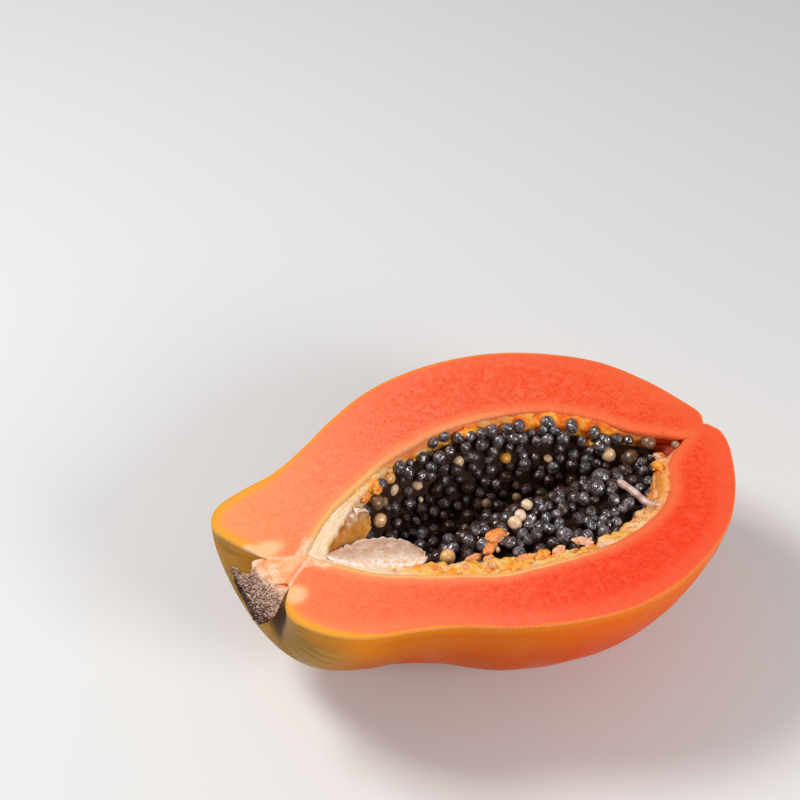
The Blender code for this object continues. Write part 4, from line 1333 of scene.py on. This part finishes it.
def crumb_places():
    draw = random.Random(31)
    places = []
    for x, y, wide, deep, _, lift, _ in LUMPS:
        for _ in range(CRUMBS_PER_LUMP):
            at = on_bed(x + draw.gauss(0, 0.5) * wide, y + draw.gauss(0, 0.5) * deep,
                        lift - draw.uniform(0, 1.0))
            r = draw.uniform(0.35, 0.9)
            places.append((at, turned(draw, 6), (r * 1.2, r * 0.8, r * 0.9)))
    for _ in range(EDGE_CRUMBS):
        x = draw.uniform(-34, 63)
        middle, half, _ = cavity_at(x)
        inset = abs(draw.gauss(0, 2.2)) - 0.6
        at = Vector((x, middle - half + inset, -0.5 - 0.45 * max(inset, 0.0) - draw.uniform(0, 0.5)))
        r = draw.uniform(0.3, 0.75) if draw.random() < 0.85 else draw.uniform(0.9, 1.5)
        places.append((at, turned(draw, 6), (r * 1.3, r * 0.9, r * 0.8)))
    return places


def slice_places():
    draw = random.Random(33)
    places = []
    for _ in range(SLICES):
        x = draw.uniform(33, 63)
        middle, half, _ = cavity_at(x)
        inset = draw.uniform(0.2, 3.8)
        at = Vector((x, middle - half + inset, -0.9 - 0.4 * inset))
        turn = (draw.gauss(0, 0.3), draw.gauss(-0.5, 0.35), draw.gauss(1.1 + 0.02 * (x - 45), 0.35))
        places.append((at, turn, (draw.uniform(1.2, 2.3), draw.uniform(0.25, 0.45), draw.uniform(0.7, 1.3))))
    return places


crumb_shape = round_template("one crumb", 2, 0.42, 0.75, 8)
slice_shape = round_template("one slice", 2, 0.30, 0.9, 6)
carry(scatter("pulp_crumbs", crumb_shape, pulp, crumb_places()), "lining")
carry(scatter("pulp_slices", slice_shape, pulp, slice_places()), "lining")

# %% [markdown]
# ## Membrane and strands
#
# At the stem end a pale, moist membrane with a torn whitish rim bulges over the near side. Beyond it lies a
# glossy tan pocket. Both are sheets drawn between two edges that are given as the camera sees them, each
# with a depth. A pale strand sticks out over the seeds near the blossom end, and shreds of pulp follow the
# edge there.

# %% Films
film = Finish("membrane", Roughness=0.35, Coat_Weight=0.25, Coat_Roughness=0.15, Subsurface_Weight=0.15,
              Subsurface_Radius=(1.0, 0.6, 0.4), Subsurface_Scale=0.0006)
veins = film.noise(300.0, 5.0)
film_colour = film.ramp(veins, (0.34, (0.62, 0.34, 0.20)), (0.46, (0.68, 0.41, 0.27)),
                        (0.58, (0.72, 0.47, 0.34)),
                        (0.68, (0.84, 0.62, 0.50)))
crease = film.math("ABSOLUTE", film.math("SUBTRACT", film.noise(170.0, 5.0), 0.5), 0.0)
film_colour = film.mix(film.times(film.mask(crease, 0.020, 0.004), 0.7), film_colour, (0.93, 0.78, 0.68))
chalk = film.ramp(film.noise(900.0, 3.0), (0.36, (0.88, 0.50, 0.30)), (0.50, (0.96, 0.70, 0.53)),
                  (0.62, (1.0, 0.86, 0.74)))
film_colour = film.mix(film.mask(film.value("rim"), 0.50, 0.12), film_colour, chalk)
film_colour = film.mix(film.mask(film.value("rim"), 0.92, 1.0), film_colour, (0.95, 0.78, 0.64))
amber = film.ramp(veins, (0.38, (0.40, 0.15, 0.04)), (0.50, (0.66, 0.32, 0.13)), (0.60, (0.90, 0.66, 0.48)))
film_colour = film.mix(film.value("amber"), film_colour, amber)
film.colour(film_colour)
film.bumps((veins, 0.25, 0.0005), (crease, 0.3, 0.0006),
           (film.noise(1400.0, 3.0), film.mask(film.value("rim"), 0.6, 0.2), 0.0004))

pocket = Finish("tan pocket", Roughness=0.3, Coat_Weight=0.35, Coat_Roughness=0.15, Subsurface_Weight=0.1,
                Subsurface_Radius=(1.0, 0.6, 0.3), Subsurface_Scale=0.0006)
pocket_colour = pocket.ramp(pocket.noise(200.0, 3.0), (0.34, (0.52, 0.16, 0.008)), (0.52, (0.72, 0.27, 0.02)),
                            (0.70, (0.82, 0.44, 0.16)))
torn = pocket.ramp(pocket.noise(420.0, 4.0), (0.40, (0.42, 0.15, 0.03)), (0.53, (0.66, 0.36, 0.18)),
                   (0.62, (0.94, 0.74, 0.60)))
pocket_colour = pocket.mix(pocket.mask(pocket.value("rim"), 0.45, 0.80), pocket_colour, torn)
pocket.colour(pocket_colour)
pocket.bumps((pocket.noise(260.0, 3.0), 0.5, 0.0010))


def edge_curve(stations, count):
    """(x, y, depth) stations to points, read along a smooth curve."""
    return [at_depth(*row) for row in curve_through(stations, count)]


FILM_WALL = 0.4


def make_film(name, finish, low_edge, high_edge, bulge, number):
    """A sheet between two edges that swells towards the camera, with a torn high edge."""
    rows, columns = 80, 36
    low, high = edge_curve(low_edge, rows), edge_curve(high_edge, rows)
    points, values = [], {"rim": [], "amber": []}
    for i in range(rows):
        for j in range(columns):
            u, v = i / (rows - 1), j / (columns - 1)
            torn = ease((v - 0.8) / 0.2) * 0.9 * rough((i * 0.22, 0.0, number), 1.0, 2)
            p = low[i].lerp(high[i], v * (1 + 0.10 * torn))
            swell = math.sin(math.pi * v ** 0.8) * math.sin(math.pi * clamp(u * 0.96 + 0.02)) ** 0.6
            p += Vector((0, -0.3, 1.0)) * (bulge * swell + 0.08 * rough(p, 5.0, 2) * math.sin(math.pi * v))
            ragged = rough((v * 5.0, number, 0.0), 1.0, 2) + 0.6 * math.sin(math.pi * v)
            p += (low[-1] - low[-3]).normalized() * 1.2 * ragged * ease((u - 0.75) / 0.25)
            points.append(p)
            values["rim"].append(v)
            values["amber"].append(0.8 * ease((u - 0.86) / 0.12))
    piece = make_piece(name, points, grid_faces(rows, columns), finish.material, values)
    return thicken(piece, FILM_WALL)


membrane_piece = make_film(
    "membrane", film,
    [(-60.8, 1.6, 0.9), (-57.2, -4.0, 0.9), (-52.0, -7.6, 0.9), (-46.0, -10.4, 0.9), (-40.0, -12.6, 0.9),
     (-34.5, -14.4, 1.2), (-31.5, -13.6, 2.0)],
    [(-60.8, 3.0, 2.4), (-57.0, 2.8, 4.0), (-52.5, 3.0, 5.4), (-46.5, 3.2, 6.2), (-40.5, 1.0, 6.2),
     (-35.0, -2.2, 5.6), (-31.6, -7.8, 4.6)],
    1.9, 1.0)
carry(membrane_piece, "lining")
pocket_piece = make_film(
    "pocket", pocket,
    [(-61.0, 3.6, 2.6), (-57.5, 2.0, 5.0), (-52.9, 1.8, 7.5), (-47.5, 2.6, 9.5), (-42.5, 7.0, 9.5)],
    [(-61.5, 6.0, 0.9), (-57.0, 11.0, 1.0), (-50.5, 16.4, 1.4), (-44.5, 18.0, 1.8), (-40.0, 15.5, 4.0)],
    -1.2, 9.0)
carry(pocket_piece, "lining")

# %% Pale strands
def make_tubes(name, tubes, finish, tone, sides=10):
    """Round strands along smooth curves; each is a list of (x, y, depth, radius) as the camera sees them."""
    points, faces = [], []
    for stations in tubes:
        rows = curve_through(stations, 6 * len(stations))
        spine = [at_depth(*row[:3]) for row in rows]
        first = len(points)
        for i, (at, row) in enumerate(zip(spine, rows)):
            way = (spine[min(i + 1, len(spine) - 1)] - spine[max(i - 1, 0)]).normalized()
            side = way.cross(Vector((0, 0, 1))).normalized()
            over = side.cross(way)
            radius = float(row[3]) * (1 + 0.12 * rough(at, 1.4))
            turns = [math.tau * k / sides for k in range(sides)]
            points += [at + radius * (math.cos(turn) * side + math.sin(turn) * over) for turn in turns]
        faces += [[first + k for k in face] for face in grid_faces(len(rows), sides, closed=True)]
        faces.append([first + k for k in range(sides)])
        faces.append([first + (len(rows) - 1) * sides + k for k in range(sides)][::-1])
    return make_piece(name, points, faces, finish, {"tone": [tone] * len(points)})


STRANDS = [
    [(43.6, -9.6, 2.6, 0.7), (44.2, -10.8, 2.6, 1.4), (45.6, -14.2, 2.6, 1.35), (46.8, -18.4, 2.3, 1.3),
     (47.6, -22.2, 1.8, 1.3), (50.0, -24.6, 1.2, 1.0), (54.0, -24.0, 0.7, 0.5)],
]
SHREDS = [
    [(59.0, -10.6, 1.6, 0.6), (61.6, -8.0, 1.2, 1.0), (64.6, -8.2, 0.9, 0.8), (67.6, -7.0, 0.7, 0.7),
     (70.6, -5.6, 0.6, 0.7), (73.4, -4.2, 0.4, 0.5)],
    [(62.6, -17.0, 0.8, 0.3), (61.8, -13.0, 1.0, 0.6), (61.6, -10.0, 1.0, 0.7), (63.4, -8.4, 0.8, 0.4)],
    [(52.0, -26.6, 0.8, 0.3), (56.0, -22.4, 0.9, 0.6), (59.4, -17.0, 1.0, 0.7), (60.6, -12.6, 1.1, 0.4)],
]
strand_finish = Finish("pale strand", Roughness=0.35, Coat_Weight=0.25, Coat_Roughness=0.2,
                       Subsurface_Weight=0.3,
                       Subsurface_Radius=(1.0, 0.6, 0.5), Subsurface_Scale=0.002)
strand_finish.colour(strand_finish.ramp(strand_finish.noise(300.0, 3.0), (0.36, (0.50, 0.29, 0.22)),
                                        (0.52, (0.66, 0.45, 0.38)), (0.66, (0.76, 0.58, 0.50))))
strand_finish.bumps((strand_finish.noise(700.0, 3.0), 0.4, 0.0004))
carry(make_tubes("pale_strands", STRANDS, strand_finish.material, 0.0), "lining")
carry(make_tubes("edge_shreds", SHREDS, pulp.material, 0.78), "lining")

# %% [markdown]
# ## Stalk
#
# The stalk was cut through with the fruit, so its half shows a fan of dry fibres that flares to a dark rough
# end. Its body is a loft of half rings with deep woody ridges. Slivers scattered over the cut side stand for
# the torn fibres.

# %% Stalk material
stalk = Finish("stalk wood", Roughness=0.8, Specular_IOR_Level=0.25)
out = stalk.value("out")
fibre, fresh = add_fan(stalk)
wood = stalk.ramp(fibre, (0.34, (0.05, 0.016, 0.012)), (0.46, (0.26, 0.11, 0.07)), (0.56, (0.62, 0.34, 0.22)),
                  (0.68, (0.88, 0.66, 0.52)))
fresh = stalk.mix(stalk.value("pale"), fresh, (0.95, 0.56, 0.30))
dried = stalk.ramp(fibre, (0.36, (0.62, 0.34, 0.20)), (0.50, (0.88, 0.60, 0.42)), (0.62, (0.96, 0.78, 0.62)))
fresh = stalk.mix(stalk.mask(out, 0.22, 0.44), fresh, dried)
wood = stalk.mix(stalk.mask(out, 0.62, 0.42), wood, fresh)
wood = stalk.mix(stalk.times(stalk.mask(out, 0.70, 0.92), 0.85), wood, (0.035, 0.012, 0.012))
stalk.colour(wood)
stalk.bumps((fibre, stalk.mask(out, 0.25, 0.5), 0.0012), (stalk.noise(1500.0, 3.0), 0.4, 0.0004))

# %% Stalk mesh
STUB_STATIONS = [  # far edge, near edge, depth below the cut
    (-72.5, 7.0, -71.0, 0.5, 5.0), (-78.0, 9.6, -74.4, -3.0, 6.0), (-83.4, 10.6, -77.4, -5.2, 6.5),
    (-85.0, 7.6, -80.0, -7.4, 6.6), (-86.6, 6.0, -82.2, -9.4, 6.8), (-88.8, 6.8, -84.6, -11.8, 7.0),
    (-90.4, 10.4, -87.8, -13.6, 6.6), (-91.0, 10.6, -90.6, -14.0, 5.8),
]
STUB_ROWS = curve_through(STUB_STATIONS, 72)


def make_stub():
    """A closed half: rings run over the cut side too, so each ring is the outline of a half disc."""
    rows, around, across = len(STUB_ROWS), 90, 48
    points, values = [], {"out": [], "pale": []}
    for i, (far_x, far_y, near_x, near_y, depth) in enumerate(STUB_ROWS.tolist()):
        out = i / (rows - 1)
        ring = [(0.5 - 0.5 * math.cos(math.pi * j / around), -math.sin(math.pi * j / around))
                for j in range(around + 1)]
        ring += [(1 - (j + 1) / (across + 1), 0.0) for j in range(across)]
        for s, down in ring:
            p = Vector((lerp(far_x, near_x, s), lerp(far_y, near_y, s), depth * down))
            torn = rough((p.x * 0.5, p.y, p.z), 1.3, 2)
            if down < -0.001:
                grow = 1 + out * (0.06 * math.cos(26 * math.pi * s) + 0.05 * torn)
                p.z *= grow
            rough_end = ease((out - 0.45) / 0.3)
            if p.z > -2:
                p.z += rough_end * (0.6 * torn - 0.3) - 0.07
            p.x += ease((out - 0.8) / 0.2) * 0.9 * rough((3.0, p.y, p.z), 1.5, 2)
            points.append(p)
            values["out"].append(out + 0.12 * ease((0.35 - s) / 0.3) * ease((out - 0.15) / 0.2))
            values["pale"].append(max(strand_mask(p), pale_mask(p)))
    size = around + 1 + across
    faces = grid_faces(rows, size, closed=True)
    for row, step in ((0, 1), (rows - 1, -1)):
        faces.append([row * size + j for j in range(size)][::step])
    piece = make_piece("stalk", points, faces, stalk.material, values)
    piece.data.set_sharp_from_angle(angle=math.radians(55))
    return piece


stub_piece = make_stub()
carry(stub_piece, "stalk", "stem_stub")

# %% Torn fibres on the stalk
fibre_finish = Finish("torn fibre", Roughness=0.75, Specular_IOR_Level=0.3)
fibre_finish.colour(fibre_finish.ramp(fibre_finish.value("tone"), (0.0, (0.05, 0.018, 0.016)),
                                      (0.35, (0.30, 0.14, 0.09)), (0.6, (0.66, 0.40, 0.28)),
                                      (1.0, (0.90, 0.68, 0.55))))


def sliver_template():
    """A thin three-sided sliver, one unit long, pointed at both ends."""
    bm = bmesh.new()
    ring = [bm.verts.new((0.45, 0.5 * math.cos(a), 0.5 * math.sin(a))) for a in (0.0, 2.1, 4.2)]
    root, tip = bm.verts.new((0.0, 0.0, 0.0)), bm.verts.new((1.0, 0.0, 0.0))
    for a, b in zip(ring, ring[1:] + ring[:1]):
        bm.faces.new((a, b, tip))
        bm.faces.new((b, a, root))
    bmesh.ops.recalc_face_normals(bm, faces=bm.faces)
    return template("one sliver", bm)


FIBRE_TRIES = 2600


def fibre_places():
    """Short curls in all directions on the cut side, most of them near the rough end."""
    draw = random.Random(41)
    places, tones = [], []
    rows = STUB_ROWS.tolist()
    for _ in range(FIBRE_TRIES):
        out, s = draw.uniform(0.36, 1.0), draw.uniform(0.0, 1.0)
        if draw.random() > 0.10 + 0.9 * ease((out - 0.4) / 0.3):
            continue
        far_x, far_y, near_x, near_y, _ = rows[int(out * (len(rows) - 1))]
        at = Vector((lerp(far_x, near_x, s), lerp(far_y, near_y, s), draw.uniform(-0.4, 0.1)))
        end = ease((out - 0.7) / 0.3)
        any_way = draw.random() < 0.55
        heading = draw.uniform(0, math.tau) if any_way else math.pi + (0.5 - s) * 0.9 + draw.gauss(0, 0.4)
        length = draw.uniform(0.7, 1.9) * (0.6 if out > 0.93 and math.cos(heading) < 0 else 1.0)
        width = draw.uniform(0.22, 0.42)
        turn = Matrix.Rotation(heading, 3, "Z") @ Matrix.Rotation(-draw.uniform(-0.2, 0.8) * out, 3, "Y")
        places.append((at, list(turn.to_euler()), (length, width, width)))
        dark_share = 0.22 + 0.40 * end + 0.5 * rough(at, 1.7)
        dark_one = draw.random() < dark_share
        tones.append(0.05 + 0.2 * draw.random() if dark_one else clamp(draw.gauss(0.78, 0.18)))
    return places, tones


places, tones = fibre_places()
fibre_piece = scatter("torn_fibres", sliver_template(), fibre_finish, places, tones)
carry(fibre_piece, "stalk")

# %% [markdown]
# ## Surface and light
#
# The half lies on a plain pale surface under plain soft studio light: a large lamp from above the far left,
# a second one of about the same strength from the near right, and a pale sky that fills the shadows.

# %% Floor
floor_finish = Finish("pale surface", Roughness=0.65, Base_Color=(0.80, 0.79, 0.77, 1.0))
floor_mesh = bpy.data.meshes.new("floor")
floor_mesh.from_pydata([(-6, -6, 0), (6, -6, 0), (6, 6, 0), (-6, 6, 0)], [], [(0, 1, 2, 3)])
floor_mesh.materials.append(floor_finish.material)
floor = bpy.data.objects.new("floor", floor_mesh)
bpy.context.scene.collection.objects.link(floor)

# %% Lights
def add_lamp(name, at, power, size):
    """A square lamp aimed at the middle of the half."""
    data = bpy.data.lights.new(name, "AREA")
    data.energy = power
    data.size = size
    lamp = bpy.data.objects.new(name, data)
    lamp.location = at
    aim = Vector((0.0, 0.0, CUT_Z)) - Vector(at)
    lamp.rotation_euler = aim.to_track_quat("-Z", "Y").to_euler()
    bpy.context.scene.collection.objects.link(lamp)


add_lamp("key", (-0.42, 0.38, 0.80), 5.9, 0.28)
add_lamp("fill", (0.35, -0.80, 0.55), 5.5, 0.40)
world = bpy.data.worlds.new("soft sky")
world.use_nodes = True
world.node_tree.nodes["Background"].inputs["Color"].default_value = (0.93, 0.95, 1.0, 1.0)
world.node_tree.nodes["Background"].inputs["Strength"].default_value = 0.30
bpy.context.scene.world = world
bpy.context.scene.view_settings.view_transform = "Standard"
